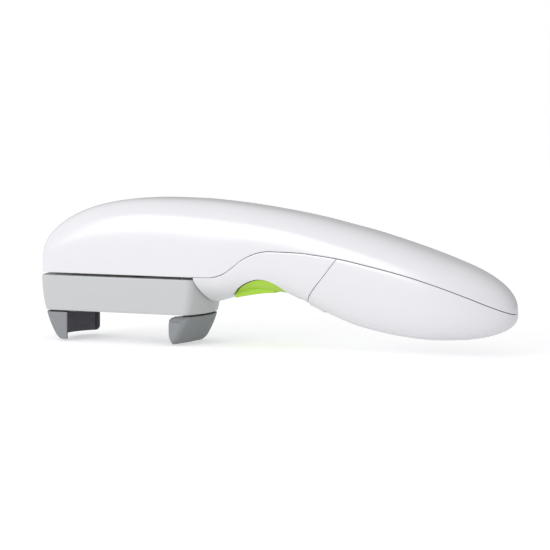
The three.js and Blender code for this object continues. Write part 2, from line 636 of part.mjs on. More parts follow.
part('output_gear', outputWheel(), nylon);
part('output_shaft', rodZ(shaftRadius, carrierFloorTop + 0.3, 56.5, 0, 0, 16), steel);
part('output_bush', cut(join(rodZ(6, 33.3, 36.9, 0, 0, 20), rodZ(8, floorTopZ + 0.1, 36.9, 0, 0, 20)),
  rodZ(shaftRadius + 0.2, 30, 40, 0, 0, 16)), brass);
part('shaft_clip', cut(rodZ(4.6, 44.5, 45.3, 0, 0, 14), rodZ(shaftRadius + 0.05, 40, 50, 0, 0, 16)), steel);
part('third_gear', compoundGear(finalPinion, thirdGear, thirdAxle), nylon);
part('second_gear', compoundGear(secondPinion, secondGear, secondAxle), nylon);
const wheelHeight = wormWheel.z[1] - wormWheel.z[0];
const wheelTwist = (wormLead / (2 * Math.PI * wormPitchRadius)) * wheelHeight
  / ((wormWheel.teeth * wormWheel.module) / 2); // the wheel's teeth lean with the worm's thread
part('worm_wheel', compoundGear(firstPinion, wormWheel, firstAxle, wheelTwist), nylon);
[thirdAxle, secondAxle, firstAxle].forEach(({ x, y }, i) => {
  part(`gear_axle_${i + 1}`, rodZ(axleRadius, floorTopZ + 0.1, axleTopZ, x, y, 8), steel);
});
part('worm', worm(), blackPlastic);
part('motor_shaft', rodX(0.95, firstAxle.x - 7.5, 57.5, 0, wormZ, 8), steel);

// ---------------------------------------------------------------- gearbox plate, motor and switch
const plateLegs = [{ x: -17.5, y: 9.5 }, { x: -17.5, y: -9.5 }, { x: 55.2, y: 11 }, { x: 55.2, y: -11 }];

function gearboxPlate() {
  let plate = prismZ([[-19.5, -9], [-16, -12], [56, -12.6], [57.4, -11], [57.4, 11], [56, 12.6],
    [-16, 12], [-19.5, 9]], ...plateZ);
  for (const { x, y } of plateLegs) {
    plate = join(plate, rodZ(2.2, floorTopZ + 0.1, plateZ[0] + 1, x, y, 8));
    plate = cut(plate, rodZ(0.95, plateZ[1] - 9, plateZ[1] + 1, x, y, 8));
  }
  for (const { x, y } of [thirdAxle, secondAxle, firstAxle]) {
    plate = cut(plate, rodZ(axleRadius + 0.1, 50, 62, x, y, 8));
  }
  return plate;
}

function motorCan() {
  const can = rodX(motor.radius, motor.front, motor.canEnd, 0, wormZ, 24).intersect(
    block(50, 90, -motor.flat, motor.flat, 30, 80));
  const snout = rodX(3, motor.front - 1.4, motor.front + 1, 0, wormZ, 16);
  return cut(join(can, snout), rodX(1.15, motor.front - 3, motor.front + 0.6, 0, wormZ, 12));
}

function motorCap() {
  const cap = rodX(motor.radius - 0.3, motor.canEnd + 0.1, motor.end, 0, wormZ, 24).intersect(
    block(50, 95, -motor.flat + 0.3, motor.flat - 0.3, 30, 80));
  return join(cap, rodX(2.6, motor.end - 1, motor.end + 1.6, 0, wormZ, 14));
}

function motorCradle() {
  const saddle = block(59.5, 83, -12.4, 12.4, 41.2, 50.5).intersect(handleForm(wall + 0.3));
  return cut(saddle, rodX(motor.radius + 0.3, 50, 90, 0, wormZ, 24));
}

part('gearbox_plate', gearboxPlate(), nylon);
plateLegs.forEach(({ x, y }, i) => {
  const standing = screw(1.9, 1.2, 0.75, 7, 0, 0, 0).rotate([180, 0, 0]);
  part(`plate_screw_${i + 1}`, standing.translate([x, y, plateZ[1] + 1.3]), steel);
});
part('motor_can', motorCan(), steel);
part('motor_cap', motorCap(), blackPlastic);
part('motor_cradle', motorCradle(), blackPlastic);
part('switch_board', block(60, 83, -8.5, 8.5, 39.6, 40.9), boardGreen);
part('switch_body', cut(block(65.6, 78.4, -2.9, 2.9, 33.7, 39.3), block(67.7, 70.3, -1.3, 1.3, 33, 37.6)),
  blackPlastic);
part('switch_plunger', block(68, 70, -1, 1, 32.1, 35.4), nylon);

// ---------------------------------------------------------------- springs
// A coil spring standing on z0, about the Z axis.
function coil(radius, wireRadius, turns, z0, z1) {
  const points = [];
  const perTurn = 8;
  for (let i = 0; i <= turns * perTurn; i++) {
    const angle = (i / perTurn) * 2 * Math.PI;
    const z = z0 + wireRadius + ((z1 - z0 - 2 * wireRadius) * i) / (turns * perTurn);
    points.push([radius * Math.cos(angle), radius * Math.sin(angle), z]);
  }
  return wire(points, wireRadius, 4, turns * perTurn);
}

part('trigger_spring', coil(1.9, 0.3, 5, 29.0, 39.2).translate([63.4, 0, 0]), steel);

// ---------------------------------------------------------------- battery bay, tilted with the handle
const bay = new THREE.Group();
bay.position.set(143, 0, 31.8);
bay.rotation.y = bayTilt;
opener.add(bay);
shelf = bay;

const cellY = batteryRadius + 0.25;
const cellStart = -batteryLength / 2;

// An AA cell along X; facing 1 points its button to +X.
function cell(y, facing) {
  const can = turned([[0, 0], [batteryRadius, 0], [batteryRadius, 49], [2.7, 49], [2.7, batteryLength],
    [0, batteryLength]], 16);
  return can.rotate([0, 90, 0]).translate([cellStart, 0, 0]).rotate([0, 0, facing > 0 ? 0 : 180])
    .translate([0, y, 0]);
}

function batteryTray() {
  const roof = block(-31.6, 31.6, -13.4, 13.4, batteryRadius + 0.3, batteryRadius + 1.7);
  const ends = [-1, 1].map((side) => block(side < 0 ? -31.6 : 30.2, side < 0 ? -30.2 : 31.6, -12.6, 12.6,
    -5, batteryRadius + 1));
  const groove = [-1, 1].map((side) => rodX(batteryRadius + 0.3, -29, 29, side * cellY, 0, 16));
  const rib = cut(block(-22, 22, -2, 2, 2.2, batteryRadius + 1), ...groove);
  return join(roof, ...ends, rib);
}

const contactSpring = (y, side) => {
  const spring = coil(2.6, 0.35, 3, 0, 3.6).rotate([0, side < 0 ? 90 : -90, 0]);
  return spring.translate([side < 0 ? -29.3 : 29.3, y, 0]);
};

part('battery_left', cell(cellY, -1), cellWrap);
part('battery_right', cell(-cellY, 1), cellWrap);
part('battery_tray', batteryTray(), blackPlastic);
part('plus_contact', join(block(-30, -29.5, cellY - 4, cellY + 4, -4, 5),
  rodX(1.8, -29.6, -25.6, cellY, 0, 10)), steel);
part('minus_contact', block(-30, -29.5, -cellY - 4, -cellY + 4, -4, 5), steel);
part('minus_spring', contactSpring(-cellY, -1), steel);
part('bridge_contact', join(block(29.5, 30, -cellY - 4, cellY + 4, -4, 4),
  rodX(1.8, 25.6, 29.6, -cellY, 0, 10)), steel);
part('bridge_spring', contactSpring(cellY, 1), steel);
shelf = opener;

// ---------------------------------------------------------------- wires
part('wire_plus', wire([[110.4, 5, 38.2], [104, 2.6, 38.6], [94, 2, 40.2], [83.4, 4, 40.2]],
  0.6, 5, 8), redWire);
part('wire_minus', wire([[110.4, -5, 38.2], [105, -2.4, 41], [97, -2, 47], [88.6, -4.4, 50.2]],
  0.6, 5, 8), blackPlastic);
part('wire_motor', wire([[83.4, 0, 40.2], [92, 0, 42.4], [95.4, 1.4, 50], [88.6, 4.4, 56.4]],
  0.6, 5, 9), redWire);

// ---------------------------------------------------------------- origin at the bottom centre
opener.position.x = -(noseX + tailX) / 2;

export default opener;
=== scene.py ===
import json
import math

import bpy
import numpy as np
from mathutils import Matrix, Vector


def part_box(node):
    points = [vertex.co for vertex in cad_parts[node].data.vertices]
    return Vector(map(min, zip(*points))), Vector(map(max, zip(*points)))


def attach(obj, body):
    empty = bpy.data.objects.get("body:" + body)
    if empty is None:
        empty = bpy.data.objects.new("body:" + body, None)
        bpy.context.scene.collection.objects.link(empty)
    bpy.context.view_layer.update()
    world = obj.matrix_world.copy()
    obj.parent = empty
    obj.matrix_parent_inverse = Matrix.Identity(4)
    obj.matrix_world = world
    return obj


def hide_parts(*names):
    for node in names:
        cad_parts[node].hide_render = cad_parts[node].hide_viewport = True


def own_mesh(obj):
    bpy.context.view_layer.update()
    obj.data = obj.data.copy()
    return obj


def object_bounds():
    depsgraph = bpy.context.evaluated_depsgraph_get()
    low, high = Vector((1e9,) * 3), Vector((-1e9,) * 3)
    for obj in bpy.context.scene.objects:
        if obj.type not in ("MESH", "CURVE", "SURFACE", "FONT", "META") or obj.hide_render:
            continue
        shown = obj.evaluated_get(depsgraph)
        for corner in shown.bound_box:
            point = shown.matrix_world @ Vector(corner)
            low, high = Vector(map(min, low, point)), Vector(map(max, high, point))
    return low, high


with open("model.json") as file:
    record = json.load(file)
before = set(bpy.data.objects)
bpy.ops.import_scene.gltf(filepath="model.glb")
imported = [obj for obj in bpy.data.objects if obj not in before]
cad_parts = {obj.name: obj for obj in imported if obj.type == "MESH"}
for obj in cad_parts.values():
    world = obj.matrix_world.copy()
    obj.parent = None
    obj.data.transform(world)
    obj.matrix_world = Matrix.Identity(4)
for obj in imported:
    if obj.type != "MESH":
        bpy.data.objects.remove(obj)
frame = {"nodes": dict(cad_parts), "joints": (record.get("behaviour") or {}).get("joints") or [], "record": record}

cadLow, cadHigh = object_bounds()
mm = 0.001
jointNamed = {joint["name"]: joint for joint in frame["joints"]}
turnX = jointNamed["carrier_turn"]["pos_m"][0] / mm  # turntable axis; X below is measured from it, in mm


# camera and studio

cameraSetup = {
    "azimuth": 23.88,  # degrees round the opener, 0 looks along +Y
    "elevation": 4.89,
    "distance": 1.36716,
    "lens": 183.27,
    "sensor": 36,
    "aimAhead": -0.00065,  # aim point from the middle of the opener, along X
    "aimDrop": -0.00075,  # and along Z
}


def addCamera(setup):
    turn = math.radians(setup["azimuth"])
    tilt = math.radians(setup["elevation"])
    back = Vector((math.sin(turn) * math.cos(tilt), -math.cos(turn) * math.cos(tilt), math.sin(tilt)))
    middle = (cadLow + cadHigh) / 2
    aim = Vector((middle.x + setup["aimAhead"], 0, middle.z + setup["aimDrop"]))
    bpy.ops.object.camera_add(location=aim + back * setup["distance"])
    camera = bpy.context.object
    camera.rotation_mode = "QUATERNION"
    camera.rotation_quaternion = back.to_track_quat("Z", "Y")
    camera.data.lens = setup["lens"]
    camera.data.sensor_width = setup["sensor"]
    bpy.context.scene.camera = camera


studio = {
    "floorSize": 8.0,
    "floorColour": (0.8, 0.8, 0.805, 1),
    "floorGlow": 0.24,
    "floorShine": 0.34,  # further glow that is seen but lights nothing
    "roomGlow": 0.525,  # brightness of the room all round
    "roomLean": 0.4,  # how much brighter it is towards the window side
    "windowSide": (-0.5, -0.7, 0.6),
    "softboxAzimuth": -24,  # degrees, to the camera's left
    "softboxHeight": 17,
    "softboxDistance": 1.5,
    "softboxSize": 0.62,
    "softboxPower": 5,
}


def addAreaLight(name, azimuth, elevation, distance, size, power):
    turn = math.radians(azimuth)
    tilt = math.radians(elevation)
    back = Vector((math.sin(turn) * math.cos(tilt), -math.cos(turn) * math.cos(tilt), math.sin(tilt)))
    bpy.ops.object.light_add(type="AREA", location=back * distance + Vector((0, 0, cadHigh.z / 2)))
    light = bpy.context.object
    light.name = name
    light.rotation_mode = "QUATERNION"
    light.rotation_quaternion = back.to_track_quat("Z", "Y")
    light.data.size = size
    light.data.energy = power


def addStudio(setup):
    bpy.ops.object.select_all(action="DESELECT")
    bpy.ops.mesh.primitive_plane_add(size=setup["floorSize"], location=(0, 0, 0))
    floor = bpy.context.object
    floor.name = "paleFloor"
    material = bpy.data.materials.new("paleFloorPaint")
    material.use_nodes = True
    nodes = material.node_tree.nodes
    links = material.node_tree.links
    paint = nodes["Principled BSDF"]
    paint.inputs["Base Color"].default_value = setup["floorColour"]
    paint.inputs["Emission Color"].default_value = setup["floorColour"]
    seen = nodes.new("ShaderNodeLightPath")
    lift = nodes.new("ShaderNodeMath")
    lift.operation = "MULTIPLY_ADD"
    lift.inputs[1].default_value = setup["floorShine"]
    lift.inputs[2].default_value = setup["floorGlow"]
    links.new(seen.outputs["Is Camera Ray"], lift.inputs[0])
    links.new(lift.outputs["Value"], paint.inputs["Emission Strength"])
    paint.inputs["Roughness"].default_value = 0.9
    paint.inputs["Specular IOR Level"].default_value = 0.1
    fromBelow = nodes.new("ShaderNodeBsdfTransparent")  # the floor can be looked through from below
    side = nodes.new("ShaderNodeNewGeometry")
    mix = nodes.new("ShaderNodeMixShader")
    links.new(side.outputs["Backfacing"], mix.inputs["Fac"])
    links.new(paint.outputs["BSDF"], mix.inputs[1])
    links.new(fromBelow.outputs["BSDF"], mix.inputs[2])
    links.new(mix.outputs["Shader"], nodes["Material Output"].inputs["Surface"])
    floor.data.materials.append(material)
    addAreaLight("softbox", setup["softboxAzimuth"], setup["softboxHeight"], setup["softboxDistance"],
                 setup["softboxSize"], setup["softboxPower"])
    world = bpy.data.worlds.new("whiteRoom")
    bpy.context.scene.world = world
    world.use_nodes = True
    nodes = world.node_tree.nodes
    links = world.node_tree.links
    glow = nodes["Background"]
    glow.inputs["Color"].default_value = (0.99, 0.995, 1, 1)
    direction = nodes.new("ShaderNodeTexCoord")
    towards = nodes.new("ShaderNodeVectorMath")
    towards.operation = "DOT_PRODUCT"
    towards.inputs[1].default_value = Vector(setup["windowSide"]).normalized()
    level = nodes.new("ShaderNodeMath")
    level.operation = "MULTIPLY_ADD"
    level.inputs[1].default_value = setup["roomLean"]
    level.inputs[2].default_value = setup["roomGlow"]
    links.new(direction.outputs["Generated"], towards.inputs[0])
    links.new(towards.outputs["Value"], level.inputs[0])
    links.new(level.outputs["Value"], glow.inputs["Strength"])
    paper = nodes.new("ShaderNodeBackground")
    paper.inputs["Color"].default_value = (1, 1, 1, 1)
    rays = nodes.new("ShaderNodeLightPath")
    mix = nodes.new("ShaderNodeMixShader")
    links.new(rays.outputs["Is Camera Ray"], mix.inputs["Fac"])
    links.new(glow.outputs["Background"], mix.inputs[1])
    links.new(paper.outputs["Background"], mix.inputs[2])
    links.new(mix.outputs["Shader"], nodes["World Output"].inputs["Surface"])
    bpy.context.scene.view_settings.view_transform = "Standard"


addCamera(cameraSetup)
addStudio(studio)
print("camera and studio are set")


# shaping tools

def editAll(piece):
    bpy.ops.object.select_all(action="DESELECT")
    piece.select_set(True)
    bpy.context.view_layer.objects.active = piece
    bpy.ops.object.mode_set(mode="EDIT")
    bpy.ops.mesh.select_all(action="SELECT")


def leaveEdit():
    bpy.ops.object.mode_set(mode="OBJECT")


def weld(piece, turnOutward=True):
    # merges points closer than a hundredth of a millimetre
    editAll(piece)
    bpy.ops.mesh.remove_doubles(threshold=0.01 * mm)
    if turnOutward:
        bpy.ops.mesh.normals_make_consistent(inside=False)
    leaveEdit()
    return piece


def applyModifier(piece, kind, **settings):
    bpy.ops.object.select_all(action="DESELECT")
    piece.select_set(True)
    bpy.context.view_layer.objects.active = piece
    modifier = piece.modifiers.new(kind, kind)
    for key, value in settings.items():
        setattr(modifier, key, value)
    bpy.ops.object.modifier_apply(modifier=modifier.name)
    return piece


def thicken(piece, wall):
    return applyModifier(piece, "SOLIDIFY", thickness=wall * mm, offset=-1, use_even_offset=True)


def softenEdges(piece, width, segments=2, angle=40):
    return applyModifier(piece, "BEVEL", width=width * mm, segments=segments, limit_method="ANGLE",
                         angle_limit=math.radians(angle), use_clamp_overlap=True, harden_normals=False)


def smoothShade(piece, angle=32):
    bpy.ops.object.select_all(action="DESELECT")
    piece.select_set(True)
    bpy.context.view_layer.objects.active = piece
    bpy.ops.object.shade_smooth_by_angle(angle=math.radians(angle))
    return piece


def carve(piece, tool, operation="DIFFERENCE"):
    applyModifier(piece, "BOOLEAN", operation=operation, object=tool, solver="EXACT")
    bpy.data.objects.remove(tool)
    return piece


def joinPieces(name, *pieces):
    bpy.ops.object.select_all(action="DESELECT")
    for piece in pieces:
        piece.select_set(True)
    bpy.context.view_layer.objects.active = pieces[0]
    bpy.ops.object.join()
    pieces[0].name = name
    pieces[0].data.name = name
    return pieces[0]


def wrapGrid(name, points):
    # a grid whose rows and columns lie on points[row][column], in mm from the turntable axis
    points = np.asarray(points, float)
    rows, columns = points.shape[:2]
    bpy.ops.object.select_all(action="DESELECT")
    bpy.ops.mesh.primitive_grid_add(x_subdivisions=columns - 1, y_subdivisions=rows - 1, size=1)
    piece = bpy.context.object
    piece.name = name
    piece.data.name = name
    placed = (points + (turnX, 0, 0)) * mm
    piece.data.vertices.foreach_set("co", placed.reshape(-1).astype(np.float32))
    piece.data.update()
    return piece


def plateAcross(name, outline, low, high, axis="y"):
    # a flat outline, extruded from low to high along an axis, in mm from the turntable axis
    bpy.ops.object.select_all(action="DESELECT")
    bpy.ops.mesh.primitive_circle_add(vertices=len(outline), radius=1, fill_type="NGON")
    piece = bpy.context.object
    piece.name = name
    piece.data.name = name
    for vertex, (a, b) in zip(piece.data.vertices, outline):
        place = {"x": (low, a, b), "y": (a, low, b), "z": (a, b, low)}[axis]
        vertex.co = ((place[0] + turnX) * mm, place[1] * mm, place[2] * mm)
    step = {"x": (1, 0, 0), "y": (0, 1, 0), "z": (0, 0, 1)}[axis]
    editAll(piece)
    bpy.ops.mesh.extrude_region_move(
        TRANSFORM_OT_translate={"value": Vector(step) * (high - low) * mm})
    bpy.ops.mesh.select_all(action="SELECT")
    bpy.ops.mesh.normals_make_consistent(inside=False)
    leaveEdit()
    return piece


def block(name, xs, ys, zs):
    return plateAcross(name, [(xs[0], zs[0]), (xs[1], zs[0]), (xs[1], zs[1]), (xs[0], zs[1])], *ys)


def turnedPiece(name, profile, sides, x=0, y=0):
    # a profile of (radius, z), turned about a vertical line; it starts and ends on the line
    turn = np.linspace(0, 2 * math.pi, sides + 1)
    points = [[(x + r * math.cos(a), y + r * math.sin(a), z) for a in turn] for r, z in profile]
    return weld(wrapGrid(name, points))


def finishPiece(piece, body, slot, *stands):
    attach(piece, body)
    if stands:
        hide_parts(*stands)
    return piece


def copyPiece(piece, name, place):
    twin = piece.copy()
    twin.data = piece.data.copy()
    twin.name = name
    twin.data.name = name
    bpy.context.scene.collection.objects.link(twin)
    twin.data.transform(place)
    return twin


# the handle's outer form

handleForm = {
    "wall": 2.2,
    "seamGap": 0.36,
    "coverGap": 0.5,
    "nose": cadLow.x / mm - turnX,
    "tail": cadHigh.x / mm - turnX,
    "apexX": 27,
    "rimZ": 34.15,
    "widest": [(40, 34.1), (52, 34.6), (62, 37.2), (74, 40.2), (88, 40.4), (104, 38.6), (124, 35.2),
               (144, 31.6), (164, 28), (184, 24.4), (202.85, 20.9)],
    "back": [(27, 72), (40, 71.8), (53, 71), (66, 69.8), (79, 68.2), (92, 66.3), (104.5, 64.1),
             (117, 61.4), (130, 58.5), (142, 55.3), (154, 51.8), (166.5, 47.8), (178.7, 43.5),
             (190, 39.7), (202.85, 35.9)],
    "drop": [(40, 13), (47, 13.1), (54.6, 11.9), (62, 11.8), (75, 13.4), (88.6, 14.6), (98.6, 17.2),
             (113.8, 21.4), (126.4, 23.2), (138.8, 23.4), (151, 22.7), (163.3, 21), (175.5, 18.2),
             (187.5, 15.2), (202.85, 11.5)],
    "halfWidth": [(40, 18.1), (62, 17.7), (84, 17.4), (104, 17.8), (126, 18.6), (150, 18.9),
                  (172, 18.4), (202.85, 15.5)],
    "sideSquareness": [(20, 4.2), (70, 3.6), (120, 3.1), (180, 2.8)],
    "bellySquareness": [(40, 1.5), (46.5, 1.52), (60, 2.1), (72, 2.35), (110, 2.3), (180, 2.3)],
    "seam": [(42.8, 34.15), (51, 34.25), (57.2, 35.8), (62.8, 39.3), (67, 42.6), (72, 45.4),
             (77, 47.2), (82.4, 48), (97.5, 47.8), (107, 47), (119, 45.6), (134, 42.8), (149.6, 39.5),
             (161, 36.6), (172.5, 33.1), (184, 28.9), (194, 24.7), (202.85, 20.9)],
    "coverEdge": [(12, 94.5), (21, 98), (24.8, 100.8), (30.8, 105.8), (36, 110.4), (41, 114.4),
                  (45.4, 118), (50, 121.4)],  # X of the cover's front edge, by height
}


def smoothLine(points):
    # a monotone cubic through the points, so that it never swings past them
    knots, values = np.array(points, float).T
    spans = np.diff(knots)
    slopes = np.diff(values) / spans
    tangents = [slopes[0]]
    for before, after in zip(slopes, slopes[1:]):
        tangents.append(0 if before * after <= 0 else 2 * before * after / (before + after))
    tangents = np.array(tangents + [slopes[-1]])

    def valueAt(x):
        x = np.clip(x, knots[0], knots[-1])
        i = np.clip(np.searchsorted(knots, x, side="right") - 1, 0, len(spans) - 1)
        t = (x - knots[i]) / spans[i]
        rise = 3 * t * t - 2 * t**3
        swing = tangents[i] * spans[i] * t * (1 - t) ** 2 - tangents[i + 1] * spans[i] * t * t * (1 - t)
        return values[i] * (1 - rise) + values[i + 1] * rise + swing

    return valueAt


widestAt = smoothLine(handleForm["widest"])
backAt = smoothLine(handleForm["back"])
dropAt = smoothLine(handleForm["drop"])
halfWidthAt = smoothLine(handleForm["halfWidth"])
sideSquarenessAt = smoothLine(handleForm["sideSquareness"])
bellySquarenessAt = smoothLine(handleForm["bellySquareness"])
seamAt = smoothLine(handleForm["seam"])
coverEdgeAt = smoothLine(handleForm["coverEdge"])


def roundOff(x, start, end, power):  # 1 up to start, then down to 0 at end
    t = np.clip((x - start) / (end - start), 0, 1)
    return (1 - t**power) ** (1 / power)


def reachAt(x, inset=0):  # how far the form goes up, down and to the side of its widest line
    nose = handleForm["nose"] + inset
    tail = handleForm["tail"] - inset
    tailEnd = roundOff(x, 175, tail, 2.5)
    up = (backAt(x) - widestAt(x) - inset) * roundOff(-x, -handleForm["apexX"], -nose, 2.5) * tailEnd
    down = (dropAt(x) - inset) * roundOff(-x, 36, -nose, 2.4) * tailEnd
    half = (halfWidthAt(x) - inset) * roundOff(-x, 37, -nose, 2.4) * roundOff(x, 160, tail, 2.3)
    return up, down, half


def sectionAt(x, angle, inset=0):
    up, down, half = reachAt(x, inset)
    above = np.sin(angle) >= 0
    power = 2 / np.where(above, sideSquarenessAt(x), bellySquarenessAt(x))
    y = half * np.sign(np.cos(angle)) * np.abs(np.cos(angle)) ** power
    z = widestAt(x) + np.where(above, up, -down) * np.abs(np.sin(angle)) ** power
    return y, z


def angleAtHeight(x, z, inset=0):  # on the +Y side
    up, down, half = reachAt(x, inset)
    lift = z - widestAt(x)
    if lift >= 0:
        return math.asin(min(1, lift / max(up, 1e-9)) ** (sideSquarenessAt(x) / 2))
    return -math.asin(min(1, -lift / max(down, 1e-9)) ** (bellySquarenessAt(x) / 2))


quarterEase = np.linspace(0, 1, 90)[:-1]
quarterEase = 3 * quarterEase**2 - 2 * quarterEase**3
easedAngles = np.concatenate([(quarter + quarterEase) * math.pi / 2 for quarter in range(-4, 8)])


def girthPoints(x, start, end, shares, inset=0):
    # points at even shares of the way round one cross-section, from one angle up to another
    between = easedAngles[(easedAngles > start) & (easedAngles < end)]
    y, z = sectionAt(x, np.concatenate([[start], between, [end]]), inset)
    run = np.concatenate([[0], np.cumsum(np.hypot(np.diff(y), np.diff(z)))])
    way = np.asarray(shares) * run[-1]
    return np.interp(way, run, y), np.interp(way, run, z)


def crowded(start, end, steps):  # stations that crowd towards start
    return start + (end - start) * (1 - np.cos(np.linspace(0, math.pi / 2, steps + 1)))


topShellShape = {"noseSteps": 38, "midSteps": 84, "tailSteps": 34, "aroundSteps": 84, "edgeRound": 0.35}


def makeTopShell(shape):
    nose = handleForm["nose"]
    tail = handleForm["tail"]
    stations = np.concatenate([crowded(nose, 6, shape["noseSteps"]),
                               np.linspace(6, 176, shape["midSteps"])[1:-1],
                               crowded(tail, 176, shape["tailSteps"])[::-1]])
    shares = np.linspace(0, 1, shape["aroundSteps"] + 1)
    columns = []
    for x in stations:
        edge = angleAtHeight(x, seamAt(x) + handleForm["seamGap"] / 2 * (x > 42.8))
        y, z = girthPoints(x, edge, math.pi - edge, shares)
        columns.append(np.stack([np.full_like(y, x), y, z], -1))
    shell = weld(wrapGrid("topShell", np.stack(columns, 1)))
    thicken(shell, handleForm["wall"])
    softenEdges(shell, shape["edgeRound"])
    return smoothShade(shell)


def undersideTable(shares):
    # the form below the seam: Y and Z for stations along X and shares of the way from seam to seam
    tail = handleForm["tail"]
    stations = np.concatenate([np.linspace(38, 176, 300), crowded(tail, 176, 60)[::-1][1:]])
    ys, zs = [], []
    for x in stations:
        edge = angleAtHeight(x, seamAt(x) - handleForm["seamGap"] / 2)
        y, z = girthPoints(x, math.pi - edge, 2 * math.pi + edge, shares)
        ys.append(y)
        zs.append(z)
    return stations, np.array(ys), np.array(zs)


def coverEdgeOn(stations, zs, side):  # X where a line along the form meets the cover's front edge
    beyond = stations - coverEdgeAt(zs) - side * handleForm["coverGap"] / 2
    return float(np.interp(0, beyond, stations))


lowerShellShape = {
    "sweepRadius": 45.95,  # clears the turning carrier
    "floorTop": 36.35,
    "floorInset": 2.45,
    "edgeRound": 0.3,
    "archStart": 58.6,
    "archEnd": 91.7,
    "arch": [(58.6, 24.6), (61.7, 27.5), (64.6, 29.6), (69.3, 32.2), (73, 33.6), (76.5, 34.2), (80.3, 33.8),
             (84.5, 32.2), (87.4, 30.1), (89.9, 27.6), (91.7, 25.4)],
    "rimWall": 0.7,  # the wall is thinned round the arch, so that the trigger can rise behind it
    "rimRise": 3,
    "padSlot": {"x": (59.4, 66), "halfY": 8.8, "z": (15, 32.5)},  # lets the trigger's pad rise
    "headScrews": [(-35, 8), (-35, -8)],
    "gripScrews": [(96, 7), (96, -7)],
    "screwHole": 2.9,
}


def archOutline(shape, steps=48):
    archAt = smoothLine(shape["arch"])
    start = shape["archStart"]
    end = shape["archEnd"]
    top = [(x, float(archAt(x))) for x in np.linspace(start, end, steps + 1)]
    return [*top, (end, 10), (start, 10)]


def bellySlice(name, inset, stations, roofAt, steps=60):
    # the solid between the form's underside, inset, and a roof
    columns = []
    for x in stations:
        roof = float(roofAt(x))
        edge = angleAtHeight(x, roof, inset)
        y, z = girthPoints(x, math.pi - edge, 2 * math.pi + edge, np.linspace(0, 1, steps + 1), inset)
        lid = np.linspace(y[-1], y[0], 13)[1:]
        ring = [*zip(y, z), *((across, roof) for across in lid)]
        columns.append([(x, across, up) for across, up in ring])
    middles = [[(x, 0, float(roofAt(x)))] * len(columns[0]) for x in (stations[0], stations[-1])]
    return weld(wrapGrid(name, [middles[0], *columns, middles[1]]))


def makeGrip(shape):
    # the underside of the grip, closed towards the turntable by the neck's hollow face
    radius = shape["sweepRadius"]
    shares = np.linspace(0, 1, 85)
    stations, ys, zs = undersideTable(shares)
    rows = []
    for j in range(len(shares)):
        start = float(np.interp(radius, np.hypot(stations, ys[:, j]), stations))
        end = coverEdgeOn(stations, zs[:, j], -1)
        xs = np.linspace(start, end, 76)
        skin = np.stack([xs, np.interp(xs, stations, ys[:, j]), np.interp(xs, stations, zs[:, j])], -1)
        y = skin[0, 1] * np.linspace(0, 1, 13)[:-1]
        neck = np.stack([np.sqrt(radius**2 - y * y), y, np.full_like(y, skin[0, 2])], -1)
        rows.append(np.concatenate([neck, skin]))
    grip = weld(wrapGrid("grip", np.array(rows)))
    applyModifier(grip, "SOLIDIFY", thickness=handleForm["wall"] * mm, offset=-1)
    arch = plateAcross("archCutter", archOutline(shape), -30, 30)
    carve(grip, arch)
    archAt = smoothLine(shape["arch"])
    carve(grip, bellySlice("rimCutter", shape["rimWall"], np.linspace(60.2, 88.4, 54),
                           lambda x: archAt(x) + shape["rimRise"]))
    slot = shape["padSlot"]
    carve(grip, block("slotCutter", slot["x"], (-slot["halfY"], slot["halfY"]), slot["z"]))
    hole = shape["screwHole"]
    gripProfile = [(0, 10), (hole, 10), (hole, 34), (0, 34)]
    for x, y in shape["gripScrews"]:
        carve(grip, turnedPiece("holeCutter", gripProfile, 48, x, y))
    softenEdges(grip, shape["edgeRound"])
    return smoothShade(grip, 38)


def makeHeadFloor(shape):
    floorXs = np.concatenate([crowded(handleForm["nose"] + shape["floorInset"], -20, 24),
                              np.linspace(-20, 50, 12)[1:]])
    floorRows = []
    for side in np.linspace(-1, 1, 13):
        half = np.array([reachAt(x, shape["floorInset"])[2] for x in floorXs])
        floorRows.append(np.stack([floorXs, half * side, np.full_like(half, handleForm["rimZ"])], -1))
    headFloor = weld(wrapGrid("headFloor", np.array(floorRows)), turnOutward=False)
    if headFloor.data.polygons[0].normal.z > 0:
        editAll(headFloor)
        bpy.ops.mesh.flip_normals()
        leaveEdit()
    thicken(headFloor, shape["floorTop"] - handleForm["rimZ"])
    hole = shape["screwHole"]
    headProfile = [(0, 30), (hole, 30), (hole, 40), (0, 40)]
    for x, y in shape["headScrews"]:
        carve(headFloor, turnedPiece("holeCutter", headProfile, 48, x, y))
    return smoothShade(headFloor)


def makeLowerShell(shape):
    return joinPieces("lowerShell", makeGrip(shape), makeHeadFloor(shape))


coverShape = {
    "edgeRound": 0.35,
    "fingerPad": {"x": (98, 106.6), "halfY": 6, "proud": 0.8, "soft": 0.5},
    "notch": {"x": (106.6, 107.8), "halfY": 5.2, "depthZ": 19.4, "soft": 0.3},
    "fineLength": 12.6,  # the front of the cover, with the latch, is drawn finer
}


def ramp(value, low, high, soft):  # 1 between low and high, with soft ends
    rise = np.clip((value - low) / soft + 0.5, 0, 1)
    fall = np.clip((high - value) / soft + 0.5, 0, 1)
    return (3 * rise**2 - 2 * rise**3) * (3 * fall**2 - 2 * fall**3)


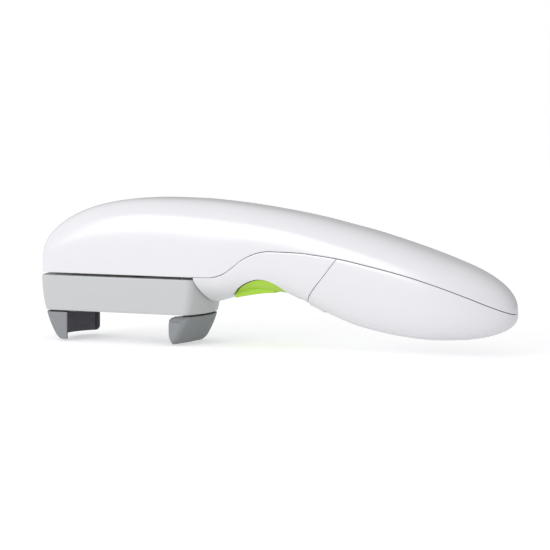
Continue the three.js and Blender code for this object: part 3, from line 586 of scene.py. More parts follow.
def makeBatteryCover(shape):
    pad = shape["fingerPad"]
    notch = shape["notch"]

    def latchRelief(x, y, z):
        onPad = ramp(x, *pad["x"], pad["soft"]) * ramp(y, -pad["halfY"], pad["halfY"], pad["soft"])
        inNotch = ramp(x, *notch["x"], notch["soft"])
        inNotch = inNotch * ramp(y, -notch["halfY"], notch["halfY"], notch["soft"])
        relief = -pad["proud"] * onPad * (z < 24)
        return relief + inNotch * (z < 22) * np.maximum(0, notch["depthZ"] - z - relief)

    tail = handleForm["tail"]
    shares = np.concatenate([np.linspace(0, 0.36, 25)[:-1], np.linspace(0.36, 0.64, 41),
                             np.linspace(0.64, 1, 25)[1:]])
    stations, ys, zs = undersideTable(shares)
    rows = []
    for j in range(len(shares)):
        start = coverEdgeOn(stations, zs[:, j], 1)
        front = np.linspace(start, start + shape["fineLength"], 46)
        rear = tail - (tail - front[-1]) * np.sin(np.linspace(math.pi / 2, 0, 76)) ** 1.6
        xs = np.concatenate([front, rear[1:]])
        y = np.interp(xs, stations, ys[:, j])
        z = np.interp(xs, stations, zs[:, j])
        rows.append(np.stack([xs, y, z + latchRelief(xs, y, z)], -1))
    cover = weld(wrapGrid("batteryCover", np.array(rows)))
    thicken(cover, handleForm["wall"])
    softenEdges(cover, shape["edgeRound"], angle=50)
    return smoothShade(cover, 38)


topShell = finishPiece(makeTopShell(topShellShape), "root", "gloss_white_shell", "top_shell")
lowerShell = finishPiece(makeLowerShell(lowerShellShape), "root", "gloss_white_shell", "lower_shell")
batteryCover = finishPiece(makeBatteryCover(coverShape), "cover", "gloss_white_shell", "battery_cover")
print("white shells are shaped")


# trigger

triggerShape = {
    "inset": 0.95,
    "gap": 0.3,
    "wall": 1.7,
    "edgeRound": 0.25,
    "pad": [(60, 23.9), (64, 24.8), (68, 25.55), (71.3, 26.1), (76, 26.8), (80, 27.05), (81.6, 27.1)],
    "padHalfY": 7.6,
    "padTop": 29.4,
    "padNose": {"low": 26.6, "back": 2.4, "drop": 0.6},  # the pad's sloped front, inside the shell
    "padRound": 0.8,
    "lug": {"x": (83, 91.6), "halfY": 6.6, "z": (29.6, 33.8)},
}


def makeTrigger(shape):
    archAt = smoothLine(lowerShellShape["arch"])
    inset = shape["inset"]
    roofAt = lambda x: archAt(x) - shape["gap"]
    search = np.linspace(lowerShellShape["archStart"], lowerShellShape["archEnd"], 400)
    room = np.array([float(roofAt(x)) - widestAt(x) + reachAt(x, inset)[1] for x in search])
    shown = search[room > 0.02]
    stations = np.linspace(shown[0], shown[-1], 72)
    shares = np.linspace(0, 1, 61)
    columns = []
    for x in stations:
        roof = float(roofAt(x))
        edge = angleAtHeight(x, roof, inset)
        y, z = girthPoints(x, math.pi - edge, 2 * math.pi + edge, shares, inset)
        down, half = reachAt(x, inset + shape["wall"])[1:]
        squareness = bellySquarenessAt(x)
        within = np.clip(1 - np.minimum(1, np.abs(y) / half) ** squareness, 0, 1) ** (1 / squareness)
        inner = np.where(np.abs(y) < half, np.minimum(widestAt(x) - down * within, roof), roof)
        inner = np.maximum(inner, np.minimum(z + 0.3, roof))
        outside = np.stack([np.full_like(y, x), y, z], -1)
        inside = np.stack([np.full_like(y, x), y, inner], -1)[::-1]
        columns.append(np.concatenate([outside, inside, outside[:1]]))
    button = weld(wrapGrid("greenTrigger", np.stack(columns, 1)))
    softenEdges(button, shape["edgeRound"], 3, 50)
    padAt = smoothLine(shape["pad"])
    start = shape["pad"][0][0]
    end = shape["pad"][-1][0]
    top = shape["padTop"]
    nose = shape["padNose"]
    low = [(x, float(padAt(x))) for x in np.linspace(start, end, 22)]
    outline = [*low, (end, top), (start + nose["back"], top - nose["drop"]), (start + 0.1, nose["low"])]
    pad = plateAcross("fingerPad", outline, -shape["padHalfY"], shape["padHalfY"])
    softenEdges(pad, shape["padRound"], 4)
    carve(button, pad, "UNION")
    lug = shape["lug"]
    carve(button, block("hingeLug", lug["x"], (-lug["halfY"], lug["halfY"]), lug["z"]), "UNION")
    return smoothShade(weld(button), 30)


trigger = finishPiece(makeTrigger(triggerShape), "trigger", "green_trigger", "trigger")
print("trigger is shaped")


# turntable carrier and jaws

carrierShape = {
    "halfY": 18.1,
    "bottomZ": 15.25,
    "topZ": 32.75,
    "wall": 2.2,
    "corner": 4.4,
    "edgeRound": 0.8,
    "floorThickness": 2,
    "floorGap": 0.25,
    "slotX": (12.6, 38.8),
    "slotHalfY": 4.6,
    "screwSeats": {"x": 36, "y": 12.6, "radius": 2.5, "depth": 1.2},
}


def bowlRadiusAt(z):  # the carrier and jaws are cut from one bowl, that narrows downwards
    return 45.14 * (1 - ((33 - z) / 50.2) ** 2.2) ** (1 / 2.2)


def slabRing(radius, halfY, corner, middleX=0, arcSteps=22, cornerSteps=8, flatSteps=10):
    # plan outline of a disc cut to a slab, with rounded corners, once round from +X
    cornerY = halfY - corner
    cornerX = math.sqrt((radius - corner) ** 2 - cornerY**2)
    reach = math.atan2(cornerY, cornerX)
    quarter = [(radius * math.cos(a), radius * math.sin(a)) for a in np.linspace(0, reach, arcSteps + 1)]
    quarter += [(cornerX + corner * math.cos(a), cornerY + corner * math.sin(a))
                for a in np.linspace(reach, math.pi / 2, cornerSteps + 1)[1:]]
    quarter += [(x, halfY) for x in np.linspace(cornerX, 0, flatSteps + 1)[1:]]
    half = quarter + [(-x, y) for x, y in quarter[-2::-1]]
    ring = half + [(x, -y) for x, y in half[-2::-1]]
    return [(x + middleX, y) for x, y in ring]


def slabSolid(name, levels, halfY, middleX=0, openBelow=False):
    # a lofted slab through levels of (z, radius, corner), closed with flat ends
    rings = [[(x, y, z) for x, y in slabRing(r, halfY, corner, middleX)] for z, r, corner in levels]

    def shrunk(ring, share):
        return [(middleX + (x - middleX) * share, y * share, z) for x, y, z in ring]

    top = [shrunk(rings[-1], share) for share in (0.75, 0.5, 0.25, 0)]
    bottom = [] if openBelow else [shrunk(rings[0], share) for share in (0, 0.25, 0.5, 0.75)]
    return weld(wrapGrid(name, bottom + rings + top))


def makeCarrier(shape):
    levels = [(z, bowlRadiusAt(z), shape["corner"])
              for z in np.linspace(shape["bottomZ"], shape["topZ"], 15)]
    housing = slabSolid("carrierHousing", levels, shape["halfY"], openBelow=True)
    thicken(housing, shape["wall"])
    softenEdges(housing, shape["edgeRound"], 4, 50)
    return smoothShade(housing, 30)


def makeCarrierFloor(shape):
    inset = shape["wall"] + shape["floorGap"]
    low = shape["bottomZ"]
    high = low + shape["floorThickness"]
    corner = shape["corner"] - inset
    levels = [(low, bowlRadiusAt(low) - inset, corner), (high, bowlRadiusAt(high) - inset, corner)]
    plate = slabSolid("carrierFloor", levels, shape["halfY"] - inset)
    near, far = shape["slotX"]
    for xs in ((near, far), (-far, -near)):
        carve(plate, block("slotCutter", xs, (-shape["slotHalfY"], shape["slotHalfY"]), (low - 2, high + 2)))
    seat = shape["screwSeats"]
    seatTop = low + seat["depth"]
    profile = [(0, low - 1), (seat["radius"], low - 1), (seat["radius"], seatTop), (0, seatTop)]
    for x in (-seat["x"], seat["x"]):
        for y in (-seat["y"], seat["y"]):
            carve(plate, turnedPiece("holeCutter", profile, 32, x, y))
    softenEdges(plate, 0.25, 2, 50)
    return smoothShade(plate, 30)


jawShape = {
    "rearGrip": 28.9,
    "frontGrip": 27.2,
    "topZ": 14.4,
    "recessRadius": 28,
    "recessX": 7.75,
    "recessHalfY": 16.9,
    "corner": (2.6, 5),  # at the foot and at the top
    "recessCorner": 0.7,
    "rearTip": {"x": 4, "z": 7.5, "from": 0},
    "frontTip": {"x": 2.8, "z": 2.8, "from": 2},
    "toeRound": 3.2,  # the outer end curls in at the bottom
    "groove": {"x": (28, 37.4), "deep": 0.8, "z": (11.5, 12.2)},
    "frontFoot": 0.9,  # the front jaw's toe stops short of the rear jaw's
    "frontRim": {"z": 2, "y": 16.4},  # and the rest of its rim higher still
    "topBevel": 2.2,
    "voxel": 0.36,
    "smoothing": 5,
    "stem": {"x": (30, 38.4), "y": (-4.3, 4.3), "z": (13, 18.25)},
    "slider": {"x": (29, 38.4), "y": (-5.6, 9.4), "z": (17.45, 28.6)},
    "rack": {"x": (-6, 33), "y": (8.25, 13), "z": (20, 28), "pitch": math.pi, "toothTip": 6.1},
    "pad": {"inner": 26, "outer": 27.9, "rearFoot": 1.3, "frontFoot": 2.5, "top": 13.7, "halfY": 16.6,
            "round": 0.5},
    # the dark faces below reach this far across: pad rubber, and painted shade of the recess
    "rubberAndShadeHalfY": 17.7,
}


def rackOutline(rack):
    near, far = rack["x"]
    root, back = rack["y"]
    outline = [(far, back), (near, back), (near, root)]
    for tooth in range(-1, 7):
        middle = (tooth + 0.5) * rack["pitch"]
        outline += [(middle - 1.12, root), (middle - 0.38, rack["toothTip"])]
        outline += [(middle + 0.38, rack["toothTip"]), (middle + 1.12, root)]
    return [*outline, (far, root)]


def makeJaw(shape, grip, tip, front=False):
    top = shape["topZ"]
    foot, head = shape["corner"]
    toe = shape["toeRound"]
    levels = []
    curled = toe * (1 - np.cos(np.linspace(0, math.pi / 2, 9)))
    for z in np.concatenate([curled, np.linspace(toe, top, 11)[1:]]):
        curl = toe - math.sqrt(toe**2 - max(0, toe - z) ** 2)
        levels.append((z, bowlRadiusAt(z) - curl, foot + (head - foot) * z / top))
    jaw = slabSolid("jaw", levels, carrierShape["halfY"])
    carve(jaw, block("gripCutter", (-60, grip), (-30, 30), (-5, 25)))
    radius = shape["recessRadius"]
    recess = [(-2, radius, shape["recessCorner"]), (top + 4, radius, shape["recessCorner"])]
    carve(jaw, slabSolid("recessCutter", recess, shape["recessHalfY"], shape["recessX"]))
    bend = [(grip + tip["x"] * (1 - math.sin(a)), tip["from"] + tip["z"] * (1 - math.cos(a)))
            for a in np.linspace(0, math.pi / 2, 13)]
    outline = [(grip - 1, -1), (grip + tip["x"], -1), *bend, (grip - 1, tip["from"] + tip["z"])]
    carve(jaw, plateAcross("tipCutter", outline, -20, -shape["recessHalfY"]))
    if front:
        rim = shape["frontRim"]
        carve(jaw, block("footCutter", (20, 60), (-30, 30), (-5, shape["frontFoot"])))
        carve(jaw, block("rimCutter", (20, 60), (-30, rim["y"]), (-5, rim["z"])))
    bevel = shape["topBevel"]
    side = carrierShape["halfY"]
    outline = [(-side - 1, top + 1), (-side - 1, top - bevel - 1), (-side + bevel + 1, top + 1)]
    carve(jaw, plateAcross("bevelCutter", outline, 20, 50, "x"))
    groove = shape["groove"]
    carve(jaw, block("grooveCutter", groove["x"], (-side - 1, -side + groove["deep"]), groove["z"]))
    for part in ("stem", "slider"):
        values = shape[part]
        carve(jaw, block(part, values["x"], values["y"], values["z"]), "UNION")
    rack = shape["rack"]
    carve(jaw, plateAcross("rack", rackOutline(rack), *rack["z"], "z"), "UNION")
    weld(jaw)
    applyModifier(jaw, "REMESH", mode="VOXEL", voxel_size=shape["voxel"] * mm, adaptivity=0)
    applyModifier(jaw, "SMOOTH", factor=0.5, iterations=shape["smoothing"])
    return smoothShade(jaw, 60)


def rubberAndShadeOnGripFaces(jaw, rubberAndShade, towards):
    # the moulded-in rubber, and painted shade: every face below the turntable that looks at the cap gets the dark
    # pad finish, the far cheek's inner side too, where the darkness is shade in the recess
    jaw.data.materials.append(rubberAndShade)
    for face in jaw.data.polygons:
        y = face.center.y / mm
        inward = face.normal.x * towards > 0.45 or (abs(y) > 15 and face.normal.y * y / abs(y) < -0.6)
        if inward and face.center.z / mm < jawShape["topZ"] - 0.4 and abs(y) < jawShape["rubberAndShadeHalfY"]:
            face.material_index = 1


def makePad(shape, low):
    pad = shape["pad"]
    reach = math.asin(pad["halfY"] / pad["outer"]) - 0.01
    high = pad["top"]
    cut = pad["round"]
    inner = pad["inner"]
    outer = pad["outer"]
    profile = [(outer, low), (inner + cut * 1.6, low), (inner + cut * 0.5, low + cut * 0.5),
               (inner, low + cut * 1.6), (inner, (low + high) / 2), (inner, high - cut),
               (inner + cut * 0.3, high - cut * 0.3), (inner + cut, high), (outer, high),
               (outer, (low + high) / 2), (outer, low)]
    columns = []
    for a in np.linspace(-reach, reach, 61):
        columns.append([(shape["recessX"] + r * math.cos(a), r * math.sin(a), z) for r, z in profile])
    lining = weld(wrapGrid("padStrip", columns))
    editAll(lining)
    bpy.ops.mesh.select_all(action="DESELECT")
    bpy.ops.mesh.select_mode(type="EDGE")
    bpy.ops.mesh.select_non_manifold()
    bpy.ops.mesh.fill_holes(sides=0)
    bpy.ops.mesh.select_all(action="SELECT")
    bpy.ops.mesh.normals_make_consistent(inside=False)
    leaveEdit()
    softenEdges(lining, 0.3, 2, 50)
    return smoothShade(lining, 35)


def halfTurned(piece, name):
    axis = Matrix.Translation((turnX * mm, 0, 0))
    twin = copyPiece(piece, name, axis @ Matrix.Rotation(math.pi, 4, "Z") @ axis.inverted())
    bpy.data.objects.remove(piece)
    return twin


carrierHousing = finishPiece(makeCarrier(carrierShape), "carrier", "light_grey_carrier", "carrier_housing")
carrierFloor = finishPiece(makeCarrierFloor(carrierShape), "carrier", "light_grey_carrier", "carrier_floor")
rearJaw = makeJaw(jawShape, jawShape["rearGrip"], jawShape["rearTip"])
rearJaw.name = "rearJaw"
finishPiece(rearJaw, "rear_jaw", "mid_grey_jaws", "rear_jaw")
frontJaw = halfTurned(makeJaw(jawShape, jawShape["frontGrip"], jawShape["frontTip"], True), "frontJaw")
finishPiece(frontJaw, "front_jaw", "mid_grey_jaws", "front_jaw")
rearPad = makePad(jawShape, jawShape["pad"]["rearFoot"])
rearPad.name = "rearJawPad"
finishPiece(rearPad, "rear_jaw", "grip_pads", "rear_jaw_pad")
frontPad = finishPiece(halfTurned(makePad(jawShape, jawShape["pad"]["frontFoot"]), "frontJawPad"),
                       "front_jaw", "grip_pads", "front_jaw_pad")
print("turntable and jaws are shaped")


# screws, cells and springs

screwShapes = {
    "case_screw": {"count": 4, "body": "root", "head": 2.6, "headHeight": 1.7, "shank": 1.25, "length": 13},
    "carrier_screw": {"count": 4, "body": "carrier", "head": 2.3, "headHeight": 1.1, "shank": 1.1,
                      "length": 9},
    "plate_screw": {"count": 4, "body": "root", "head": 1.9, "headHeight": 1.2, "shank": 0.75, "length": 7,
                    "headUp": True},
}


def makeScrew(name, values):
    # head down on z = 0, with a rolled thread and a cross recess
    head = values["head"]
    height = values["headHeight"]
    shank = values["shank"]
    profile = [(0, 0), (head * 0.62, 0.02), (head * 0.84, 0.12), (head * 0.96, height * 0.35),
               (head, height * 0.62), (head, height * 0.92), (head * 0.96, height), (shank * 0.86, height)]
    pitch = shank * 0.7
    z = height + pitch * 0.6
    while z < values["length"] - pitch:
        profile += [(shank * 0.8, z), (shank, z + pitch * 0.32), (shank, z + pitch * 0.48),
                    (shank * 0.8, z + pitch * 0.8)]
        z += pitch
    profile += [(shank * 0.75, z), (shank * 0.3, z + shank * 0.8), (0, z + shank)]
    screw = turnedPiece(name, profile, 40)
    arm = head * 0.6
    width = head * 0.13
    deep = height * 0.7
    for turn in range(2):
        outline = [(-arm, -0.2), (arm, -0.2), (arm * 0.45, deep), (-arm * 0.45, deep)]
        if turn:
            carve(screw, plateAcross("crossCutter", [(y, z) for y, z in outline], -width, width, "x"))
        else:
            carve(screw, plateAcross("crossCutter", outline, -width, width))
    return smoothShade(screw, 35)


screws = []
for kind, values in screwShapes.items():
    pattern = makeScrew(kind, values)
    for number in range(1, values["count"] + 1):
        node = f"{kind}_{number}"
        low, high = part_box(node)
        middle = (low + high) / 2
        place = Matrix.Translation((middle.x, middle.y, low.z))
        if values.get("headUp"):
            place = Matrix.Translation((middle.x, middle.y, high.z)) @ Matrix.Rotation(math.pi, 4, "X")
        words = kind.split("_")
        screw = copyPiece(pattern, f"{words[0]}Screw{number}",
                          place @ Matrix.Translation((-turnX * mm, 0, 0)))
        screws.append(finishPiece(screw, values["body"], "screws", node))
    bpy.data.objects.remove(pattern)

bayShape = {"x": 143, "z": 31.8, "tilt": 0.2, "cellY": 7.5}
bay = (Matrix.Translation(((turnX + bayShape["x"]) * mm, 0, bayShape["z"] * mm))
       @ Matrix.Rotation(bayShape["tilt"], 4, "Y"))

cellShape = {"radius": 7.25, "length": 50.5, "button": 2.7, "buttonRise": 1.5, "wrapEnds": (0.7, 48.2),
             "bandEnd": 36}


def makeCell(shape, name):
    # standing on its flat end, button up
    radius = shape["radius"]
    length = shape["length"]
    shoulder = length - shape["buttonRise"]
    wrapLow, wrapHigh = shape["wrapEnds"]
    button = shape["button"]
    profile = [(0, 0.25), (4.6, 0.25), (4.9, 0), (6.3, 0), (6.7, 0.2), (6.9, 0.5), (6.9, wrapLow),
               (radius - 0.15, wrapLow), (radius, wrapLow + 0.2)]
    profile += [(radius, z) for z in np.linspace(wrapLow + 1, shape["bandEnd"], 8)]
    profile += [(radius, z) for z in np.linspace(shape["bandEnd"] + 0.02, wrapHigh - 0.6, 5)]
    profile += [(radius - 0.15, wrapHigh - 0.15), (radius - 0.7, wrapHigh), (6, wrapHigh),
                (5.8, wrapHigh - 0.2), (4.4, wrapHigh - 0.2), (4.1, shoulder - 0.3), (3.7, shoulder),
                (button, shoulder), (button, length - 0.35), (button - 0.35, length), (0, length)]
    return smoothShade(turnedPiece(name, profile, 64), 32)


batteries = []
for name, node, side in (("leftCell", "battery_left", 1), ("rightCell", "battery_right", -1)):
    cell = makeCell(cellShape, name)
    lie = Matrix.Rotation(-side * math.pi / 2, 4, "Y")  # the buttons point opposite ways
    start = Matrix.Translation((side * cellShape["length"] / 2 * mm, side * bayShape["cellY"] * mm, 0))
    cell.data.transform(bay @ start @ lie @ Matrix.Translation((-turnX * mm, 0, 0)))
    batteries.append(finishPiece(cell, "root", "battery_wrap", node))

coilShapes = {
    "trigger": {"radii": (1.9, 1.9), "wire": 0.3, "turns": 6.5, "z": (29, 39.2), "x": 63.4, "keep": 0.777},
    "contact": {"radii": (3.3, 2), "wire": 0.35, "turns": 3.6, "z": (0, 3.6), "x": 29.3},
}


def makeCoil(shape, name, steps=26, around=10):
    # wire wound up the Z axis, its two end turns lying flat
    low, high = shape["z"]
    wire = shape["wire"]
    turns = shape["turns"]
    columns = []
    for share in np.linspace(0, 1, int(turns * steps) + 1):
        angle = share * turns * 2 * math.pi
        way = float(np.clip((share * turns - 0.8) / (turns - 1.6), 0, 1))
        rise = 0.8 * wire * (min(share * turns, 0.8) + max(share * turns - turns + 0.8, 0)) / 0.8
        z = low + wire + rise + (high - low - 3.6 * wire) * way
        radius = shape["radii"][0] + (shape["radii"][1] - shape["radii"][0]) * share
        thick = 0.001 if share in (0, 1) else wire
        ring = []
        for turn in np.linspace(0, 2 * math.pi, around + 1):
            out = radius + thick * math.cos(turn)
            ring.append((out * math.cos(angle), out * math.sin(angle), z + thick * math.sin(turn)))
        columns.append(ring)
    return smoothShade(weld(wrapGrid(name, columns)), 60)


springs = []
coil = coilShapes["trigger"]
triggerSpring = makeCoil(coil, "triggerSpring")
triggerSpring.data.transform(Matrix.Translation((coil["x"] * mm, 0, 0)))
springs.append(finishPiece(triggerSpring, "root", "springs_and_contacts", "trigger_spring"))
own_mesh(triggerSpring)
for name, node, side in (("minusSpring", "minus_spring", -1), ("bridgeSpring", "bridge_spring", 1)):
    coil = coilShapes["contact"]
    spring = makeCoil(coil, name)
    lie = Matrix.Rotation(-side * math.pi / 2, 4, "Y")
    start = Matrix.Translation((side * coil["x"] * mm, side * bayShape["cellY"] * mm, 0))
    spring.data.transform(bay @ start @ lie @ Matrix.Translation((-turnX * mm, 0, 0)))
    springs.append(finishPiece(spring, "root", "springs_and_contacts", node))
print("screws, cells and springs are shaped")


# materials

def newGroup(name, inputs, outputs):
    group = bpy.data.node_groups.new(name, "ShaderNodeTree")
    for label, kind, value in inputs:
        socket = group.interface.new_socket(name=label, in_out="INPUT", socket_type=kind)
        if value is not None:
            socket.default_value = value
    for label, kind in outputs:
        group.interface.new_socket(name=label, in_out="OUTPUT", socket_type=kind)
    return group, group.nodes.new("NodeGroupInput"), group.nodes.new("NodeGroupOutput")


def noiseAt(group, vector, scale, detail):
    noise = group.nodes.new("ShaderNodeTexNoise")
    noise.inputs["Scale"].default_value = scale
    noise.inputs["Detail"].default_value = detail
    group.links.new(vector, noise.inputs["Vector"])
    return noise.outputs["Fac"]


def spreadAbout(group, fac, middle, spread):
    # middle + (fac - 0.5) * spread
    centred = group.nodes.new("ShaderNodeMath")
    centred.operation = "SUBTRACT"
    centred.inputs[1].default_value = 0.5
    scaled = group.nodes.new("ShaderNodeMath")
    scaled.operation = "MULTIPLY_ADD"
    group.links.new(fac, centred.inputs[0])
    group.links.new(centred.outputs["Value"], scaled.inputs[0])
    group.links.new(spread, scaled.inputs[1])
    if isinstance(middle, (int, float)):
        scaled.inputs[2].default_value = middle
    else:
        group.links.new(middle, scaled.inputs[2])
    return scaled.outputs["Value"]


def tinted(group, colour, level):
    # the colour made lighter or darker by the level
    tint = group.nodes.new("ShaderNodeVectorMath")
    tint.operation = "SCALE"
    group.links.new(colour, tint.inputs[0])
    group.links.new(level, tint.inputs["Scale"])
    return tint.outputs["Vector"]


def mouldedSkinGroup():
    # moulded plastic: slight cloudiness in colour, gloss that wanders, and a fine grain
    group, given, made = newGroup("mouldedSkin", [
        ("Colour", "NodeSocketColor", (0.8, 0.8, 0.8, 1)), ("Colour Spread", "NodeSocketFloat", 0.03),
        ("Roughness", "NodeSocketFloat", 0.4), ("Roughness Spread", "NodeSocketFloat", 0.1),
        ("Grain Scale", "NodeSocketFloat", 3000.0),
    ], [("Colour", "NodeSocketColor"), ("Roughness", "NodeSocketFloat"), ("Grain", "NodeSocketFloat")])
    place = group.nodes.new("ShaderNodeTexCoord").outputs["Object"]
    cloud = noiseAt(group, place, 60, 3)
    wander = noiseAt(group, place, 140, 4)
    grain = group.nodes.new("ShaderNodeTexNoise")
    grain.inputs["Detail"].default_value = 2
    group.links.new(place, grain.inputs["Vector"])
    group.links.new(given.outputs["Grain Scale"], grain.inputs["Scale"])
    level = spreadAbout(group, cloud, 1, given.outputs["Colour Spread"])
    group.links.new(tinted(group, given.outputs["Colour"], level), made.inputs["Colour"])
    gloss = spreadAbout(group, wander, given.outputs["Roughness"], given.outputs["Roughness Spread"])
    group.links.new(gloss, made.inputs["Roughness"])
    group.links.new(grain.outputs["Fac"], made.inputs["Grain"])
    return group


def workedMetalGroup():
    # drawn or turned metal: fine lines along one direction, and patches of dulling
    group, given, made = newGroup("workedMetal", [
        ("Colour", "NodeSocketColor", (0.6, 0.6, 0.6, 1)), ("Colour Spread", "NodeSocketFloat", 0.1),
        ("Roughness", "NodeSocketFloat", 0.3), ("Roughness Spread", "NodeSocketFloat", 0.2),
        ("Line Scale", "NodeSocketVector", (200.0, 200.0, 4000.0)),
    ], [("Colour", "NodeSocketColor"), ("Roughness", "NodeSocketFloat"), ("Lines", "NodeSocketFloat")])
    place = group.nodes.new("ShaderNodeTexCoord").outputs["Object"]
    stretch = group.nodes.new("ShaderNodeVectorMath")
    stretch.operation = "MULTIPLY"
    group.links.new(place, stretch.inputs[0])
    group.links.new(given.outputs["Line Scale"], stretch.inputs[1])
    lines = noiseAt(group, stretch.outputs["Vector"], 1, 3)
    patches = noiseAt(group, place, 220, 5)
    level = spreadAbout(group, patches, 1, given.outputs["Colour Spread"])
    group.links.new(tinted(group, given.outputs["Colour"], level), made.inputs["Colour"])
    gloss = spreadAbout(group, lines, given.outputs["Roughness"], given.outputs["Roughness Spread"])
    group.links.new(gloss, made.inputs["Roughness"])
    group.links.new(lines, made.inputs["Lines"])
    return group


mouldedSkin = mouldedSkinGroup()
workedMetal = workedMetalGroup()

plasticLooks = {
    "glossWhite": {"colour": (0.86, 0.852, 0.884, 1), "spread": 0.025, "roughness": 0.24, "wander": 0.06,
                   "coat": 0.35, "grain": 2600, "bump": 0.004},
    "lightGrey": {"colour": (0.6, 0.61, 0.62, 1), "spread": 0.03, "roughness": 0.34, "wander": 0.08,
                  "coat": 0.15, "grain": 2600, "bump": 0.01},
    "midGrey": {"colour": (0.285, 0.295, 0.312, 1), "spread": 0.06, "roughness": 0.52, "wander": 0.12,
                "coat": 0, "grain": 3400, "bump": 0.06},
    # dark pad rubber; on the jaws' inward faces it also paints the shade of the recess
    "padRubberAndShade": {"colour": (0.125, 0.122, 0.138, 1), "spread": 0.12, "roughness": 0.8, "wander": 0.12,
                  "coat": 0, "grain": 3000, "bump": 0.1},
    "limeGreen": {"colour": (0.47, 0.76, 0.05, 1), "spread": 0.05, "roughness": 0.4, "wander": 0.1,
                  "coat": 0.05, "grain": 2600, "bump": 0.03},
    "gearNylon": {"colour": (0.78, 0.75, 0.66, 1), "spread": 0.06, "roughness": 0.42, "wander": 0.12,
                  "coat": 0, "grain": 1800, "bump": 0.03},
    "blackMoulding": {"colour": (0.03, 0.03, 0.032, 1), "spread": 0.2, "roughness": 0.5, "wander": 0.16,
                      "coat": 0, "grain": 2400, "bump": 0.06},
    "boardGreen": {"colour": (0.02, 0.16, 0.06, 1), "spread": 0.3, "roughness": 0.32, "wander": 0.2,
                   "coat": 0.3, "grain": 900, "bump": 0.05},
    "cellWrap": {"colour": (0.03, 0.035, 0.045, 1), "spread": 0.1, "roughness": 0.28, "wander": 0.12,
                 "coat": 0.3, "grain": 1400, "bump": 0.02},
    "cellBand": {"colour": (0.36, 0.1, 0.02, 1), "spread": 0.1, "roughness": 0.3, "wander": 0.12,
                 "coat": 0.3, "grain": 1400, "bump": 0.02},
    "redJacket": {"colour": (0.5, 0.02, 0.015, 1), "spread": 0.1, "roughness": 0.45, "wander": 0.12,
                  "coat": 0, "grain": 2400, "bump": 0.03},
    "blackJacket": {"colour": (0.015, 0.015, 0.017, 1), "spread": 0.2, "roughness": 0.45, "wander": 0.12,
                    "coat": 0, "grain": 2400, "bump": 0.03},
}

metalLooks = {
    "zincScrew": {"colour": (0.55, 0.56, 0.58, 1), "spread": 0.25, "roughness": 0.34, "wander": 0.2,
                  "lines": (600, 600, 5000)},
    "groundSteel": {"colour": (0.62, 0.62, 0.63, 1), "spread": 0.1, "roughness": 0.24, "wander": 0.16,
                    "lines": (300, 4000, 4000)},
    "canSteel": {"colour": (0.5, 0.51, 0.53, 1), "spread": 0.2, "roughness": 0.36, "wander": 0.2,
                 "lines": (3600, 120, 120)},
    "bushBrass": {"colour": (0.68, 0.46, 0.18, 1), "spread": 0.2, "roughness": 0.32, "wander": 0.2,
                  "lines": (500, 500, 4500)},
    "springSteel": {"colour": (0.66, 0.66, 0.66, 1), "spread": 0.14, "roughness": 0.26, "wander": 0.14,
                    "lines": (1500, 1500, 1500)},
}


def newMaterial(name, group, look):
    material = bpy.data.materials.new(name)
    material.use_nodes = True
    nodes = material.node_tree.nodes
    shader = nodes["Principled BSDF"]
    skin = nodes.new("ShaderNodeGroup")
    skin.node_tree = group
    skin.inputs["Colour"].default_value = look["colour"]
    skin.inputs["Colour Spread"].default_value = look["spread"]
    skin.inputs["Roughness"].default_value = look["roughness"]
    skin.inputs["Roughness Spread"].default_value = look["wander"]
    material.node_tree.links.new(skin.outputs["Colour"], shader.inputs["Base Color"])
    material.node_tree.links.new(skin.outputs["Roughness"], shader.inputs["Roughness"])
    return material, shader, skin


def addBump(material, shader, height, strength, depth):
    bump = material.node_tree.nodes.new("ShaderNodeBump")
    bump.inputs["Strength"].default_value = strength
    bump.inputs["Distance"].default_value = depth
    material.node_tree.links.new(height, bump.inputs["Height"])
    material.node_tree.links.new(bump.outputs["Normal"], shader.inputs["Normal"])


def plasticMaterial(name, look):
    material, shader, skin = newMaterial(name, mouldedSkin, look)
    skin.inputs["Grain Scale"].default_value = look["grain"]
    shader.inputs["Coat Weight"].default_value = look["coat"]
    shader.inputs["Coat Roughness"].default_value = 0.12
    addBump(material, shader, skin.outputs["Grain"], look["bump"] * 10, 0.00006)
    return material


def metalMaterial(name, look):
    material, shader, skin = newMaterial(name, workedMetal, look)
    skin.inputs["Line Scale"].default_value = look["lines"]
    shader.inputs["Metallic"].default_value = 1
    addBump(material, shader, skin.outputs["Lines"], 0.2, 0.00005)
    return material


finishes = {name: plasticMaterial(name, look) for name, look in plasticLooks.items()}
finishes.update({name: metalMaterial(name, look) for name, look in metalLooks.items()})


def dress(piece, material):
    piece.data.materials.clear()
    piece.data.materials.append(material)


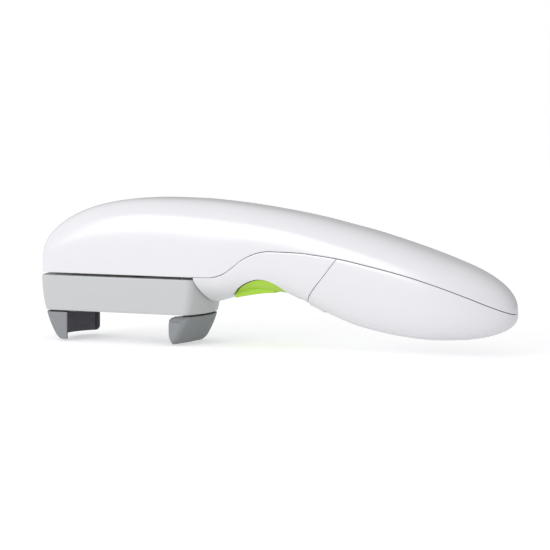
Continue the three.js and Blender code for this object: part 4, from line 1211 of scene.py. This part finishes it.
for piece in (topShell, lowerShell, batteryCover):
    dress(piece, finishes["glossWhite"])
dress(trigger, finishes["limeGreen"])
for piece in (carrierHousing, carrierFloor):
    dress(piece, finishes["lightGrey"])
for piece, towards in ((rearJaw, -1), (frontJaw, 1)):
    dress(piece, finishes["midGrey"])
    # the inward faces get the dark pad finish: rubber, and painted shade of the recess
    rubberAndShadeOnGripFaces(piece, finishes["padRubberAndShade"], towards)
for piece in (rearPad, frontPad):
    dress(piece, finishes["padRubberAndShade"])
for piece in screws:
    dress(piece, finishes["zincScrew"])
for piece in springs:
    dress(piece, finishes["springSteel"])

cellAxis = bay.to_3x3() @ Vector((1, 0, 0))
cellMiddle = bay.translation


def dressCell(cell, side):
    # bare can at both ends, and a wrap in two colours between
    cell.data.materials.clear()
    for name in ("cellWrap", "cellBand", "canSteel"):
        cell.data.materials.append(finishes[name])
    wrapLow, wrapHigh = cellShape["wrapEnds"]
    edge = cellShape["radius"] - 0.8
    for face in cell.data.polygons:
        away = face.center - cellMiddle
        up = -side * away.dot(cellAxis) / mm + cellShape["length"] / 2
        across = away - cellAxis * away.dot(cellAxis) - Vector((0, side * bayShape["cellY"] * mm, 0))
        onWrap = across.length / mm > edge and wrapLow - 0.1 < up < wrapHigh + 0.1
        if not onWrap:
            face.material_index = 2
        elif up > cellShape["bandEnd"]:
            face.material_index = 1
        else:
            face.material_index = 0


dressCell(batteries[0], 1)
dressCell(batteries[1], -1)

slotFinishes = {
    "gloss_white_shell": "glossWhite", "light_grey_carrier": "lightGrey", "mid_grey_jaws": "midGrey",
    "grip_pads": "padRubberAndShade", "green_trigger": "limeGreen", "nylon_gears": "gearNylon",
    "black_moulding": "blackMoulding", "pins_and_axles": "groundSteel", "screws": "zincScrew",
    "brass_bush": "bushBrass", "motor_can": "canSteel", "circuit_board": "boardGreen",
    "springs_and_contacts": "springSteel", "battery_wrap": "cellWrap", "red_wire": "redJacket",
    "black_wire": "blackJacket",
}
for part in frame["record"]["subparts"]:
    dress(frame["nodes"][part["node"]], finishes[slotFinishes[part["material_slot"]]])
print("materials are set")
